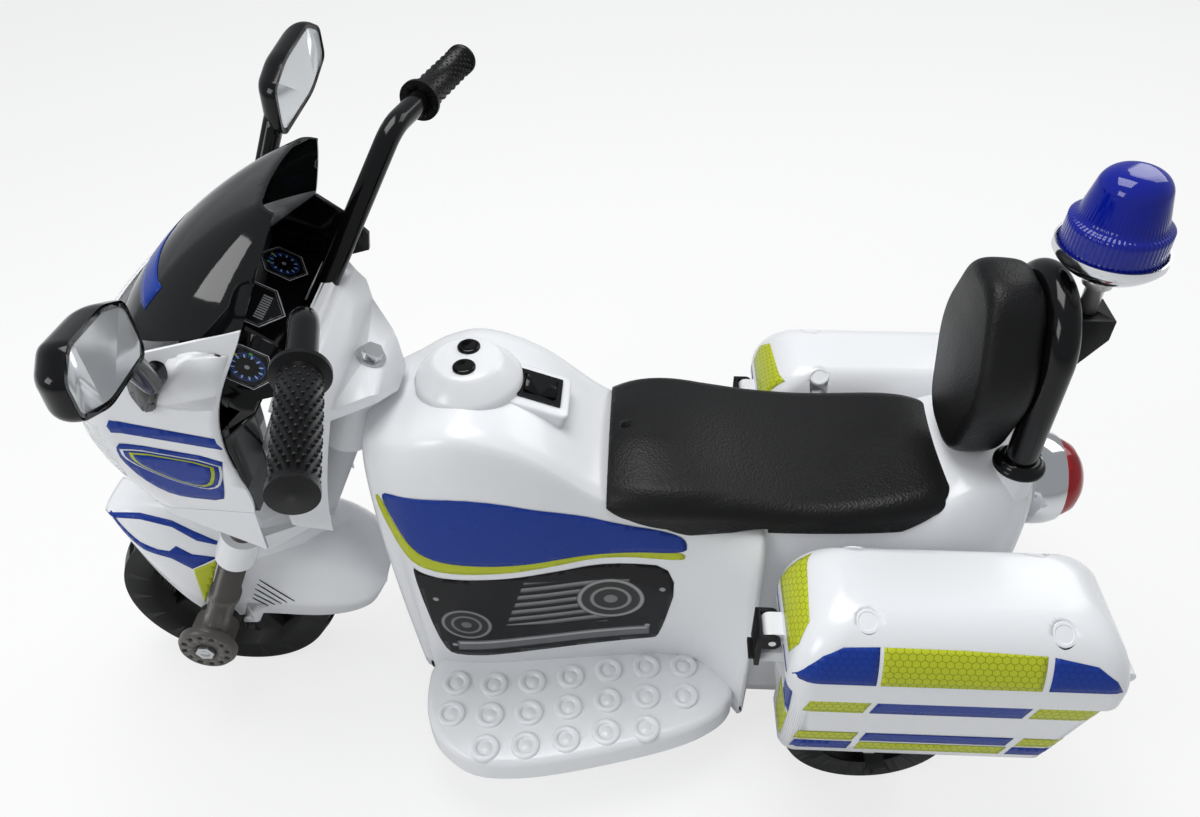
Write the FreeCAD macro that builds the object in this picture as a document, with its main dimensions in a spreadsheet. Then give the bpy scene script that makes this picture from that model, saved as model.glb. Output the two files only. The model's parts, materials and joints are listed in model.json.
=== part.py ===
import FreeCAD, Part
import math
import os
import Sketcher

# A child's electric ride-on motorbike: one steered front wheel, two rear wheels, foot pedal,
# two panniers with lids, backrest and beacon. X points forward, Y to the rider's left, Z up.
# The origin is on the ground under the middle of the bike. Lengths are millimetres.

Vector = FreeCAD.Vector
Rotation = FreeCAD.Rotation
Placement = FreeCAD.Placement

doc = FreeCAD.newDocument("ride_on_motorbike")
sheet = doc.addObject("Spreadsheet::Sheet", "sizes")

SIZES = {
    # shared fits
    "clearance": 0.3,
    "running_fit": 0.05,
    "overrun": 6.0,
    "wall": 3.0,
    "rim_wall": 2.5,
    # steering axis
    "bolt_x": 155.9,
    "rake_angle": 24.0,
    "fork_length": 350.0,
    "fork_offset": 53.0,
    # front wheel and axle
    "front_wheel_radius": 108.0,
    "front_wheel_width": 54.0,
    "hub_radius": 20.0,
    "hub_gap": 3.0,
    "rim_depth": 32.0,
    "web_width": 22.0,
    "tread_depth": 6.0,
    "tread_groove": 11.0,
    "tread_reach": 17.0,
    "axle_radius": 5.0,
    "cap_radius": 28.0,
    "cap_width": 9.0,
    "cap_recess_radius": 11.0,
    "cap_recess_depth": 5.0,
    "cap_pocket_radius": 2.6,
    "cap_pocket_circle": 21.0,
    "nut_flats": 16.0,
    "nut_height": 8.0,
    # fork
    "fork_spread": 68.0,
    "leg_radius": 12.5,
    "leg_ring_radius": 14.5,
    "leg_ring_height": 9.0,
    "leg_ring_rise": 66.0,
    "leg_lower_length": 118.0,
    "stanchion_radius": 11.0,
    "leg_boss_radius": 21.0,
    "leg_boss_width": 26.0,
    "yoke_drop": 219.0,
    "yoke_height": 34.0,
    "yoke_collar_radius": 18.0,
    "yoke_bar_depth": 30.0,
    "riser_radius": 17.0,
    # steering bolt
    "shaft_radius": 5.0,
    "washer_radius": 12.5,
    "washer_thickness": 2.0,
    "head_flats": 16.0,
    "head_height": 7.0,
    # neck and tongue
    "neck_radius": 25.0,
    "neck_height": 78.0,
    "tongue_thickness": 14.0,
    "tongue_tip": 30.0,
    "tongue_tip_half": 13.0,
    "tongue_waist_half": 36.0,
    "head_front": 58.0,
    "head_half": 88.0,
    "head_rise": 26.0,
    "spine_half": 24.0,
    "spine_height": 14.0,
    "spine_top": 17.0,
    # handlebar: places are measured from the steering bolt
    "bar_radius": 9.8,
    "bar_bore": 8.2,
    "bar_bend_radius": 34.0,
    "bar_foot_x": 53.0,
    "bar_foot_y": 31.0,
    "bar_foot_z": 18.0,
    "bar_bend_x": -11.0,
    "bar_bend_y": 135.0,
    "bar_bend_z": 139.0,
    "bar_end_x": -45.0,
    "bar_end_y": 281.0,
    "bar_end_z": 137.0,
    "grip_radius": 13.4,
    "grip_length": 100.0,
    "grip_flange_radius": 18.5,
    "grip_flange_width": 6.0,
    "grip_cap_radius": 14.4,
    "grip_cap_width": 5.0,
    # fairing and screen: places are measured from the steering bolt
    "fairing_bottom": -94.0,
    "fairing_height": 198.0,
    "fairing_back": 92.0,
    "fairing_depth": 132.0,
    "fairing_half": 108.0,
    "screen_nose_x": 178.0,
    "screen_nose_z": 65.0,
    "screen_foot_x": 51.0,
    "screen_foot_y": 98.0,
    "screen_foot_z": 100.0,
    "screen_top_x": 26.0,
    "screen_top_y": 57.0,
    "screen_top_z": 166.0,
    "screen_peak_x": 42.0,
    "screen_swell": 11.0,
    "screen_thickness": 2.5,
    "lamp_bottom": -52.0,
    "lamp_height": 62.0,
    "lamp_front": 183.0,
    "dash_lip_x": 58.0,
    "dash_lip_z": 33.0,
    "dash_top_x": 116.0,
    "dash_top_z": 66.0,
    "dash_waist_x": 88.0,
    "dash_waist_z": 4.0,
    "dash_thickness": 4.5,
    "dash_notch_half": 40.0,
    "dash_wing_side": 91.0,
    "shroud_drop": 180.0,
    "shroud_half": 60.0,
    "shroud_foot_half": 47.0,
    "trim_height": 46.0,
    # mirrors: places are measured from the steering bolt
    "mirror_x": 82.0,
    "mirror_y": 199.0,
    "mirror_z": 156.0,
    "mirror_length": 116.0,
    "mirror_height": 54.0,
    "mirror_depth": 22.0,
    "mirror_rim": 4.0,
    "mirror_recess": 2.0,
    "mirror_tilt": 15.0,
    "mirror_yaw": 9.0,
    "mirror_foot_x": 118.0,
    "mirror_foot_y": 101.0,
    "mirror_foot_z": 66.0,
    "mirror_arm_radius": 8.0,
    # mudguard: half width, and lengths measured from the front axle
    "guard_half": 47.0,
    "guard_front": 80.0,
    "guard_rear": 172.0,
    "guard_crown": 120.0,
    "guard_skirt": 6.0,
    "guard_wall": 2.5,
    "guard_slit_length": 26.0,
    "guard_slit_width": 3.0,
    # body shell
    "body_front": 8.0,
    "body_waist": 332.0,
    "body_tail": 554.0,
    "body_crown": 393.0,
    "body_half": 90.0,
    "sill_height": 62.0,
    "dome_radius": 43.0,
    "dome_top_radius": 27.0,
    "dome_height": 18.0,
    "dome_behind": 80.0,
    "dome_level": 408.0,
    "plinth_length": 56.0,
    "plinth_width": 54.0,
    "plinth_behind": 139.0,
    "plinth_level": 376.0,
    "plinth_slope": 20.0,
    "plinth_depth": 22.0,
    # footboards
    "board_level": 88.0,
    "board_front": 24.0,
    "board_length": 296.0,
    "board_half": 192.0,
    "board_edge_radius": 7.0,
    "stud_radius": 13.0,
    "stud_hole_radius": 8.0,
    "stud_height": 2.5,
    "stud_pitch": 36.5,
    "stud_row_pitch": 33.0,
    "stud_behind": 54.0,
    "stud_row_y": 103.0,
    # buttons and switch
    "button_radius": 9.6,
    "button_spacing": 27.0,
    "button_height": 5.0,
    "button_stem_radius": 5.0,
    "button_stem": 14.0,
    "button_travel": 2.0,
    "bezel_length": 38.0,
    "bezel_width": 34.0,
    "bezel_height": 2.5,
    "rocker_length": 28.0,
    "rocker_width": 22.0,
    "rocker_radius": 17.0,
    "rocker_angle": 10.0,
    # seat
    "seat_front": 198.0,
    "seat_length": 292.0,
    "seat_half": 82.0,
    "seat_skirt": 284.0,
    "seat_crown": 338.0,
    "seat_screw_behind": 212.0,
    "screw_radius": 2.0,
    "screw_head_radius": 4.0,
    "screw_head_height": 2.6,
    # backrest and hoop
    "hoop_behind": 533.0,
    "hoop_half": 45.0,
    "hoop_radius": 12.5,
    "hoop_bore": 10.5,
    "hoop_foot": 322.0,
    "hoop_crown": 491.0,
    "collar_base": 345.0,
    "collar_radius": 17.5,
    "collar_height": 9.0,
    "pad_height": 164.0,
    "pad_half": 66.0,
    "pad_thickness": 44.0,
    "pad_bottom": 338.0,
    # beacon
    "bracket_height": 58.0,
    "bracket_level": 410.0,
    "bracket_depth": 40.0,
    "bracket_half": 15.0,
    "pole_radius": 7.0,
    "pole_behind": 563.0,
    "pole_length": 70.0,
    "pole_socket": 24.0,
    "pole_collar_radius": 11.0,
    "pole_collar_height": 10.0,
    "dish_radius": 40.0,
    "dish_height": 24.0,
    "dish_wall": 2.0,
    "lens_radius": 37.0,
    "lens_ledge_radius": 31.0,
    "lens_top_radius": 25.0,
    "lens_tier": 24.0,
    "lens_height": 64.0,
    "lens_wall": 2.0,
    "lamp_radius": 9.0,
    "lamp_length": 26.0,
    # tail light
    "tail_level": 288.0,
    "tail_radius": 42.0,
    "tail_depth": 34.0,
    "tail_lens_radius": 36.0,
    "tail_lens_depth": 28.0,
    # panniers
    "box_front": 347.0,
    "box_length": 246.0,
    "box_inner": 92.0,
    "box_outer": 203.0,
    "box_bottom": 150.0,
    "box_taper": 9.0,
    "box_top": 246.0,
    "box_step": 172.0,
    "box_step_inner": 146.0,
    "box_corner": 14.0,
    "box_rake": 24.0,
    "lid_rim": 5.0,
    "lid_rim_height": 13.0,
    "lid_height": 68.0,
    "lid_corner": 20.0,
    "lid_slope": 18.0,
    "hinge_radius": 6.0,
    "hinge_pin_radius": 2.5,
    "hinge_gap": 9.0,
    "knuckle_length": 22.0,
    "latch_lug": 16.0,
    "latch_lug_width": 22.0,
    "latch_lug_height": 14.0,
    "latch_pin_radius": 3.0,
    "latch_wall": 4.0,
    "latch_length": 40.0,
    "latch_tab_height": 12.0,
    "boss_radius": 9.0,
    "mount_boss_radius": 9.0,
    "mount_boss_level": 216.0,
    # rear wheels and drive
    "rear_axle_behind": 442.0,
    "rear_wheel_radius": 82.0,
    "rear_wheel_width": 36.0,
    "rear_wheel_outer": 138.0,
    "rear_boss_radius": 13.0,
    "rear_boss_end": 96.0,
    "coupler_radius": 15.0,
    "coupler_length": 22.0,
    "gearbox_length": 120.0,
    "gearbox_width": 48.0,
    "gearbox_height": 84.0,
    "gearbox_gap": 8.0,
    "motor_radius": 18.0,
    "motor_length": 56.0,
    "motor_shaft_radius": 1.6,
    "battery_length": 100.0,
    "battery_width": 48.0,
    "battery_height": 96.0,
    "battery_behind": 190.0,
    "tray_thickness": 4.0,
    "rib_height": 18.0,
    "control_length": 60.0,
    "control_width": 44.0,
    "control_height": 22.0,
    "control_behind": 74.0,
    # accelerator pedal
    "pedal_behind": 148.0,
    "pedal_length": 72.0,
    "pedal_width": 46.0,
    "pedal_thickness": 6.0,
    "pedal_side": 150.0,
    "pedal_pin_radius": 2.5,
    "pedal_pivot_rise": 9.0,
    "pedal_lift": 10.0,
    "pedal_travel": 6.0,
    "pedal_ear": 6.0,
}


class Size(float):
    """A number from the sheet, with the formula that it was worked out by."""

    def __new__(cls, value, text):
        number = super().__new__(cls, value)
        number.text = text
        return number

    def __add__(self, other):
        return Size(float(self) + other, f"({self.text} + {formula(other)})")

    def __radd__(self, other):
        return Size(other + float(self), f"({formula(other)} + {self.text})")

    def __sub__(self, other):
        return Size(float(self) - other, f"({self.text} - {formula(other)})")

    def __rsub__(self, other):
        return Size(other - float(self), f"({formula(other)} - {self.text})")

    def __mul__(self, other):
        return Size(float(self) * other, f"({self.text} * {formula(other)})")

    def __rmul__(self, other):
        return Size(other * float(self), f"({formula(other)} * {self.text})")

    def __truediv__(self, other):
        return Size(float(self) / other, f"({self.text} / {formula(other)})")

    def __neg__(self):
        return Size(-float(self), f"(-{self.text})")


def formula(value):
    return value.text if isinstance(value, Size) else repr(float(value))


class Sizes:
    """The sheet's cells by name."""


for row, (alias, number) in enumerate(SIZES.items(), 1):
    sheet.set(f"A{row}", alias)
    sheet.set(f"B{row}", str(number))
    sheet.setAlias(f"B{row}", alias)
doc.recompute()
size = Sizes()
for alias in SIZES:
    setattr(size, alias, Size(float(sheet.get(alias)), f"sizes.{alias}"))

rake = math.radians(size.rake_angle)
cos_rake = Size(math.cos(rake), "cos(sizes.rake_angle * 1deg)")
sin_rake = Size(math.sin(rake), "sin(sizes.rake_angle * 1deg)")

# The bolt's height follows from the wheel and the fork, so that the tyre stands on the ground.
bolt_z = size.front_wheel_radius + size.fork_length * cos_rake - size.fork_offset * sin_rake
bolt = (size.bolt_x, 0.0, bolt_z)
upright = Rotation()
raked = Rotation(Vector(0, 1, 0), -float(size.rake_angle))
along_x = Rotation(Vector(0, 1, 0), 90)
along_y = Rotation(Vector(1, 0, 0), -90)

sub_parts = []


def behind(distance):
    """X of a place that lies a distance behind the steering bolt."""
    return size.bolt_x - distance


def bind(item, **formulas):
    for name, value in formulas.items():
        item.setExpression(name, formula(value))


def place(item, at=(0.0, 0.0, 0.0), turn=upright):
    item.Placement = Placement(Vector(0, 0, 0), turn)
    for axis, value in zip("xyz", at):
        item.setExpression(f"Placement.Base.{axis}", formula(value))
    return item


def keep(label, item):
    """Names a finished sub-part and puts it on the list of files."""
    item.Label = label
    sub_parts.append(item)
    return item


def solid(label, shape):
    """A sub-part whose form is free: a loft, a sweep or their booleans."""
    item = doc.addObject("Part::Feature", label)
    item.Shape = shape
    return keep(label, item)


def box(length, width, height, at, turn=upright):
    item = doc.addObject("Part::Box", "block")
    bind(item, Length=length, Width=width, Height=height)
    return place(item, at, turn)


def cylinder(radius, length, at, turn=upright):
    item = doc.addObject("Part::Cylinder", "round")
    bind(item, Radius=radius, Height=length)
    return place(item, at, turn)


def cone(radius, top_radius, length, at, turn=upright):
    item = doc.addObject("Part::Cone", "taper")
    bind(item, Radius1=radius, Radius2=top_radius, Height=length)
    return place(item, at, turn)


def prism(flats, length, at, turn=upright):
    """A hexagon bar, given by the width across its flats."""
    item = doc.addObject("Part::Prism", "hexagon")
    item.Polygon = 6
    bind(item, Circumradius=flats / math.sqrt(3), Height=length)
    return place(item, at, turn)


def fuse(*items):
    item = doc.addObject("Part::MultiFuse", "joined")
    item.Shapes = list(items)
    item.Refine = True
    return item


def cut(base, *tools):
    item = doc.addObject("Part::Cut", "cut")
    item.Base = base
    item.Tool = tools[0] if len(tools) == 1 else fuse(*tools)
    item.Refine = True
    return item


def group(*items):
    item = doc.addObject("Part::Compound", "group")
    item.Links = list(items)
    return item


class Via(tuple):
    """A point that the arc between two corners of an outline passes through."""


def tie(sketch, geometry, point, place_uv):
    """Holds one point of a sketch at its place in the sheet's sizes."""
    for axis_line, kind, value in zip((-2, -1), ("DistanceX", "DistanceY"), place_uv):
        if value == 0 and not isinstance(value, Size):
            sketch.addConstraint(Sketcher.Constraint("PointOnObject", geometry, point, axis_line))
            continue
        index = sketch.addConstraint(Sketcher.Constraint(kind, -1, 1, geometry, point, float(value)))
        sketch.setExpression(f"Constraints[{index}]", formula(value))


def draw(sketch, points):
    """Draws a closed outline of lines and arcs with every point tied to the sheet."""
    corners = [index for index, point in enumerate(points) if not isinstance(point, Via)]
    joints = []
    for number, index in enumerate(corners):
        start = points[index]
        end = points[corners[(number + 1) % len(corners)]]
        bend = points[(index + 1) % len(points)]
        first = Vector(start[0], start[1], 0)
        last = Vector(end[0], end[1], 0)
        if isinstance(bend, Via):
            middle = Vector(bend[0], bend[1], 0)
            edge = sketch.addGeometry(Part.ArcOfCircle(first, middle, last))
            spot = sketch.addGeometry(Part.Point(middle), True)
            ends = [sketch.getPoint(edge, number).distanceToPoint(first) for number in (1, 2)]
            forward = ends[0] < ends[1]
            sketch.addConstraint(Sketcher.Constraint("PointOnObject", spot, 1, edge))
            tie(sketch, spot, 1, bend)
        else:
            edge = sketch.addGeometry(Part.LineSegment(first, last))
            forward = True
        joints.append((edge, 1 if forward else 2, 2 if forward else 1))
        tie(sketch, edge, joints[-1][1], start)
    for number, (edge, begin, _) in enumerate(joints):
        before = joints[number - 1]
        sketch.addConstraint(Sketcher.Constraint("Coincident", before[0], before[2], edge, begin))


def new_body():
    return doc.addObject("PartDesign::Body", "body")


def outline(body, role, points):
    plane = [item for item in body.Origin.OriginFeatures if item.Role == role][0]
    sketch = body.newObject("Sketcher::SketchObject", "outline")
    sketch.AttachmentSupport = [(plane, "")]
    sketch.MapMode = "FlatFace"
    draw(sketch, points)
    return sketch


def revolved(points):
    """A body turned about its own Z axis from an outline of radius and height."""
    body = new_body()
    sketch = outline(body, "XZ_Plane", points)
    turned = body.newObject("PartDesign::Revolution", "turned")
    turned.Profile = sketch
    turned.ReferenceAxis = (sketch, ["V_Axis"])
    turned.Angle = 360
    return body


def padded(role, points, length, symmetric=False):
    """A body raised from an outline on one of its own planes."""
    body = new_body()
    sketch = outline(body, role, points)
    raised = body.newObject("PartDesign::Pad", "raised")
    raised.Profile = sketch
    if symmetric:
        raised.SideType = "Symmetric"
    bind(raised, Length=length)
    return body


def pocket(body, role, points, length):
    """Cuts an outline out of a body, to both sides of the plane that it is drawn on."""
    sketch = outline(body, role, points)
    hollow = body.newObject("PartDesign::Pocket", "hollow")
    hollow.Profile = sketch
    hollow.SideType = "Symmetric"
    bind(hollow, Length=length)
    return hollow


def around(body, feature, count):
    """Repeats a feature round the body's Z axis."""
    axis = [item for item in body.Origin.OriginFeatures if item.Role == "Z_Axis"][0]
    pattern = body.newObject("PartDesign::PolarPattern", "pattern")
    pattern.Originals = [feature]
    pattern.Axis = (axis, [""])
    pattern.Angle = 360
    pattern.Occurrences = count
    body.Tip = pattern


def rectangle(left, bottom, right, top):
    return [(left, bottom), (right, bottom), (right, top), (left, top)]


def line(first, last):
    return Part.LineSegment(first, last).toShape()


def arc(first, middle, last):
    return Part.Arc(first, middle, last).toShape()


def loft(sections, ruled=False):
    return Part.makeLoft(sections, True, ruled)


def moved(shape, at, turn=upright):
    copy = shape.copy()
    copy.Placement = Placement(Vector(*[float(value) for value in at]), turn).multiply(copy.Placement)
    return copy


def mirrored(shape):
    return shape.mirror(Vector(0, 0, 0), Vector(0, 1, 0))


def polygon_prism(points, depth, lift):
    """A straight prism along Y over an outline of (x, z) points."""
    corners = [Vector(x, lift, z) for x, z in points]
    face = Part.Face(Part.makePolygon(corners + corners[:1]))
    return face.extrude(Vector(0, depth, 0))


def soft_polygon(points, soften_share):
    """A closed outline whose corners are tangent arcs over a share of their shorter side."""
    count = len(points)
    bends = []
    for number, corner in enumerate(points):
        before = points[number - 1] - corner
        after = points[(number + 1) % count] - corner
        setback = soften_share * min(before.Length, after.Length)
        half_turn = before.getAngle(after) / 2
        before.normalize()
        after.normalize()
        middle_line = (before + after).normalize()
        sag = setback / math.cos(half_turn) - setback * math.tan(half_turn)
        bends.append((corner + before * setback, corner + middle_line * sag, corner + after * setback))
    edges = []
    for number, bend in enumerate(bends):
        edges.append(arc(*bend))
        edges.append(line(bend[2], bends[(number + 1) % count][0]))
    return Part.Wire(edges)


def steered(x, y, up):
    """World place of a point given on the steering axis: ahead of it, beside it and up along it."""
    return (
        size.bolt_x + x * cos_rake - up * sin_rake,
        y,
        bolt_z + x * sin_rake + up * cos_rake,
    )


def from_bolt(x, y, z):
    return Vector(size.bolt_x + x, y, bolt_z + z)


# Front wheel and rear wheels: one-piece blow-moulded wheels with blocks on both shoulders of the
# tread, a deep rim, five wide spokes and a long hub that turns on the axle.
SPOKES = 5
TREAD_BLOCKS = 18
window_share = 0.62
crown_share = 0.985


def wheel(radius, width, hub_length):
    half = width / 2
    rim = radius - size.rim_depth
    body = revolved([
        (size.axle_radius + size.running_fit, -hub_length / 2),
        (size.hub_radius, -hub_length / 2),
        (size.hub_radius, -size.web_width / 2),
        (rim, -size.web_width / 2),
        (rim, -half),
        (radius - size.tread_depth, -half),
        (radius * crown_share, -half / 2),
        Via((radius, 0.0)),
        (radius * crown_share, half / 2),
        (radius - size.tread_depth, half),
        (rim, half),
        (rim, size.web_width / 2),
        (size.hub_radius, size.web_width / 2),
        (size.hub_radius, hub_length / 2),
        (size.axle_radius + size.running_fit, hub_length / 2),
    ])
    doc.recompute()
    inner = size.hub_radius + (rim - size.hub_radius) * (1 - window_share) / 2
    outer = rim - (rim - size.hub_radius) * (1 - window_share) / 3
    spread = math.tan(math.pi / SPOKES) * window_share
    window = pocket(body, "XY_Plane", [
        (inner, -inner * spread),
        (outer, -outer * spread),
        Via((outer * math.hypot(1, spread), 0.0)),
        (outer, outer * spread),
        (inner, inner * spread),
    ], size.web_width + size.overrun)
    around(body, window, SPOKES)
    doc.recompute()
    groove_half = size.tread_groove / 2
    blocks = [body]
    for side, start in ((1, half - size.tread_reach), (-1, -half - size.overrun)):
        notch = box(size.tread_depth + size.overrun, size.tread_groove, size.tread_reach + size.overrun,
                    (radius - size.tread_depth, -groove_half, start))
        ring = doc.addObject("Part::Compound", "grooves")
        copies = []
        for number in range(TREAD_BLOCKS):
            angle = 360.0 / TREAD_BLOCKS * (number + (0.5 if side < 0 else 0.0))
            link = doc.addObject("Part::Compound", "groove")
            link.Links = [notch]
            link.Placement = Placement(Vector(0, 0, 0), Rotation(Vector(0, 0, 1), angle))
            copies.append(link)
        ring.Links = copies
        blocks.append(ring)
    return cut(cut(blocks[0], blocks[1]), blocks[2])


front_axle_at = steered(size.fork_offset, 0.0, -size.fork_length)
front_hub = (size.fork_spread - size.leg_boss_width / 2 - size.clearance) * 2
front_wheel = wheel(size.front_wheel_radius, size.front_wheel_width, front_hub)
keep("front_wheel", place(front_wheel, front_axle_at, along_y))

# Fork: two moulded legs with a stepped ring, held by a yoke under the head, with the axle through
# their lower bosses, a castellated cap over each boss and a nut in the cap.
leg_top = size.fork_length - size.yoke_drop + size.yoke_height
boss_inner = size.fork_spread - size.leg_boss_width / 2
boss_outer = size.fork_spread + size.leg_boss_width / 2


def fork_leg(side):
    ring = size.leg_ring_rise
    leg = revolved([
        (0.0, 0.0),
        (size.leg_radius, 0.0),
        (size.leg_radius, ring),
        (size.leg_ring_radius, ring),
        (size.leg_ring_radius, ring + size.leg_ring_height),
        (size.leg_radius, ring + size.leg_ring_height),
        (size.leg_radius, size.leg_lower_length),
        (size.stanchion_radius, size.leg_lower_length),
        (size.stanchion_radius, leg_top),
        (0.0, leg_top),
    ])
    boss = cylinder(size.leg_boss_radius, size.leg_boss_width, (0.0, -size.leg_boss_width / 2, 0.0), along_y)
    bore = cylinder(size.axle_radius + size.running_fit, size.leg_boss_width + size.overrun * 2,
                    (0.0, -size.leg_boss_width / 2 - size.overrun, 0.0), along_y)
    item = cut(fuse(leg, boss), bore)
    return place(item, steered(size.fork_offset, side * size.fork_spread, -size.fork_length), raked)


def axle_cap(side):
    cap = revolved([
        (size.axle_radius + size.running_fit, 0.0),
        (size.cap_radius, 0.0),
        (size.cap_radius, size.cap_width * 0.55),
        (size.cap_radius * 0.9, size.cap_width),
        (size.cap_recess_radius, size.cap_width),
        (size.cap_recess_radius, size.cap_width - size.cap_recess_depth),
        (size.axle_radius + size.running_fit, size.cap_width - size.cap_recess_depth),
    ])
    doc.recompute()
    reach = size.cap_pocket_radius
    teeth = pocket(cap, "XY_Plane", rectangle(
        size.cap_pocket_circle - reach, -reach, size.cap_pocket_circle + reach, reach),
        size.cap_width * 4)
    around(cap, teeth, 12)
    backing = cylinder(size.cap_radius * 0.9, size.cap_width - size.cap_recess_depth, (0.0, 0.0, 0.0))
    hole = cylinder(size.axle_radius + size.running_fit, size.cap_width * 2, (0.0, 0.0, -size.overrun))
    item = fuse(cap, cut(backing, hole))
    turn = along_y if side > 0 else Rotation(Vector(1, 0, 0), 90)
    at = (front_axle_at[0], side * boss_outer, front_axle_at[2])
    return place(item, at, turn)


def hex_nut(at, turn):
    return cut(
        prism(size.nut_flats, size.nut_height, at, turn),
        cylinder(size.axle_radius + size.running_fit, size.nut_height, at, turn))


axle_end = boss_outer + size.cap_width + size.nut_height - size.cap_recess_depth
keep("fork_leg_left", fork_leg(1))
keep("fork_leg_right", fork_leg(-1))
keep("axle_caps", group(axle_cap(1), axle_cap(-1)))
keep("front_axle", cylinder(
    size.axle_radius, axle_end * 2, (front_axle_at[0], -axle_end, front_axle_at[2]), along_y))
nut_seat = boss_outer + size.cap_width - size.cap_recess_depth
keep("front_axle_nuts", group(
    hex_nut((front_axle_at[0], nut_seat, front_axle_at[2]), along_y),
    hex_nut((front_axle_at[0], -nut_seat, front_axle_at[2]), Rotation(Vector(1, 0, 0), 90))))

# Yoke: the white crown that clamps the fork legs and carries the riser up to the neck.
riser_top = size.tongue_thickness + size.neck_height + size.clearance * 2


def yoke():
    bar_half = size.yoke_bar_depth / 2
    spread = size.fork_spread
    collar = size.yoke_collar_radius
    crown = padded("XY_Plane", [
        (-size.riser_radius, -size.riser_radius),
        (size.fork_offset - bar_half, -spread),
        (size.fork_offset - collar, -spread),
        Via((size.fork_offset, -spread - collar)),
        (size.fork_offset + collar, -spread),
        (size.fork_offset + bar_half, -spread / 2),
        (size.fork_offset + bar_half, spread / 2),
        (size.fork_offset + collar, spread),
        Via((size.fork_offset, spread + collar)),
        (size.fork_offset - collar, spread),
        (size.fork_offset - bar_half, spread),
        (-size.riser_radius, size.riser_radius),
    ], size.yoke_height)
    riser = cylinder(size.riser_radius, size.yoke_drop - riser_top, (0.0, 0.0, 0.0))
    shaft = cylinder(size.shaft_radius + size.running_fit, size.yoke_drop, (0.0, 0.0, -size.overrun))
    legs = [
        cylinder(size.stanchion_radius + size.running_fit, size.yoke_height + size.overrun * 2,
                 (size.fork_offset, side * spread, -size.overrun))
        for side in (1, -1)]
    item = cut(fuse(crown, riser), shaft, *legs)
    return place(item, steered(0.0, 0.0, -size.yoke_drop), raked)


keep("fork_yoke", yoke())

# Steering bolt with its washer on the tongue and a nut under the yoke.
bolt_shaft = size.yoke_drop + size.nut_height + size.washer_thickness
keep("steering_bolt", place(fuse(
    prism(size.head_flats, size.head_height, (0.0, 0.0, size.washer_thickness)),
    cylinder(size.shaft_radius, bolt_shaft, (0.0, 0.0, size.washer_thickness - bolt_shaft))), bolt, raked))
keep("steering_washer", place(cut(
    cylinder(size.washer_radius, size.washer_thickness, (0.0, 0.0, 0.0)),
    cylinder(size.shaft_radius + size.running_fit, size.washer_thickness * 3,
             (0.0, 0.0, -size.washer_thickness))), bolt, raked))
keep("steering_nut", place(cut(
    prism(size.nut_flats, size.nut_height, (0.0, 0.0, -size.nut_height)),
    cylinder(size.shaft_radius + size.running_fit, size.nut_height * 2, (0.0, 0.0, -size.nut_height * 1.5))),
    steered(0.0, 0.0, -size.yoke_drop), raked))

# Handlebar: two bent tubes that stand in sockets of the steering head, with rubber grips.
bar_foot = from_bolt(size.bar_foot_x, size.bar_foot_y, size.bar_foot_z)
bar_bend = from_bolt(size.bar_bend_x, size.bar_bend_y, size.bar_bend_z)
bar_end = from_bolt(size.bar_end_x, size.bar_end_y, size.bar_end_z)


def bar_path():
    """Two straight runs joined by a tangent arc."""
    down = (bar_foot - bar_bend).normalize()
    out = (bar_end - bar_bend).normalize()
    half_turn = down.getAngle(out) / 2
    reach = size.bar_bend_radius / math.tan(half_turn)
    first = bar_bend + down * reach
    last = bar_bend + out * reach
    middle_line = (down + out).normalize()
    middle = bar_bend + middle_line * (size.bar_bend_radius / math.sin(half_turn) - size.bar_bend_radius)
    return Part.Wire([line(bar_foot, first), arc(first, middle, last), line(last, bar_end)])


def swept(path, radius):
    start = path.Vertexes[0].Point
    tangent = path.Edges[0].tangentAt(path.Edges[0].FirstParameter)
    ring = Part.Wire([Part.Circle(start, tangent, radius).toShape()])
    return path.makePipeShell([ring], True, True)


bar_tube = swept(bar_path(), size.bar_radius).cut(swept(bar_path(), size.bar_bore))
bar_socket = Part.makeCylinder(
    size.bar_radius + size.running_fit, (bar_bend - bar_foot).Length * 0.6, bar_foot, bar_bend - bar_foot)


def grip():
    """Rubber grip: inner flange, ribbed barrel and closed end, along its own Z axis."""
    bore = size.bar_radius + size.running_fit
    flange = size.grip_flange_width
    end = size.grip_length
    return revolved([
        (bore, 0.0),
        (size.grip_flange_radius, 0.0),
        (size.grip_flange_radius, flange * 0.6),
        (size.grip_radius, flange),
        (size.grip_radius, end - size.grip_cap_width),
        (size.grip_cap_radius, end - size.grip_cap_width),
        (size.grip_cap_radius, end),
        (0.0, end + size.grip_cap_width * 0.4),
        (0.0, end - size.grip_cap_width + size.clearance),
        (bore, end - size.grip_cap_width + size.clearance),
    ])


solid("handlebar_left", bar_tube)
solid("handlebar_right", mirrored(bar_tube))
bar_out = (bar_end - bar_bend).normalize()
grip_start = bar_end - bar_out * (size.grip_length - size.grip_cap_width)
grips = []
for side in (1, -1):
    direction = Vector(bar_out.x, side * bar_out.y, bar_out.z)
    grips.append(place(grip(), (grip_start.x, side * grip_start.y, grip_start.z),
                       Rotation(Vector(0, 0, 1), direction)))
keep("grips", group(*grips))

# Steering head: the white tongue over the neck, wide at the bars, with a spine into the fairing.
waist_share = 0.55
head_profile_shares = ((0.62, 0.55), (0.86, 1.0), (1.0, 0.9))
head_wide_share = 0.45
head_front_share = 0.94
tip_round_share = 1.12
spine_back_share = 0.7


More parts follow.
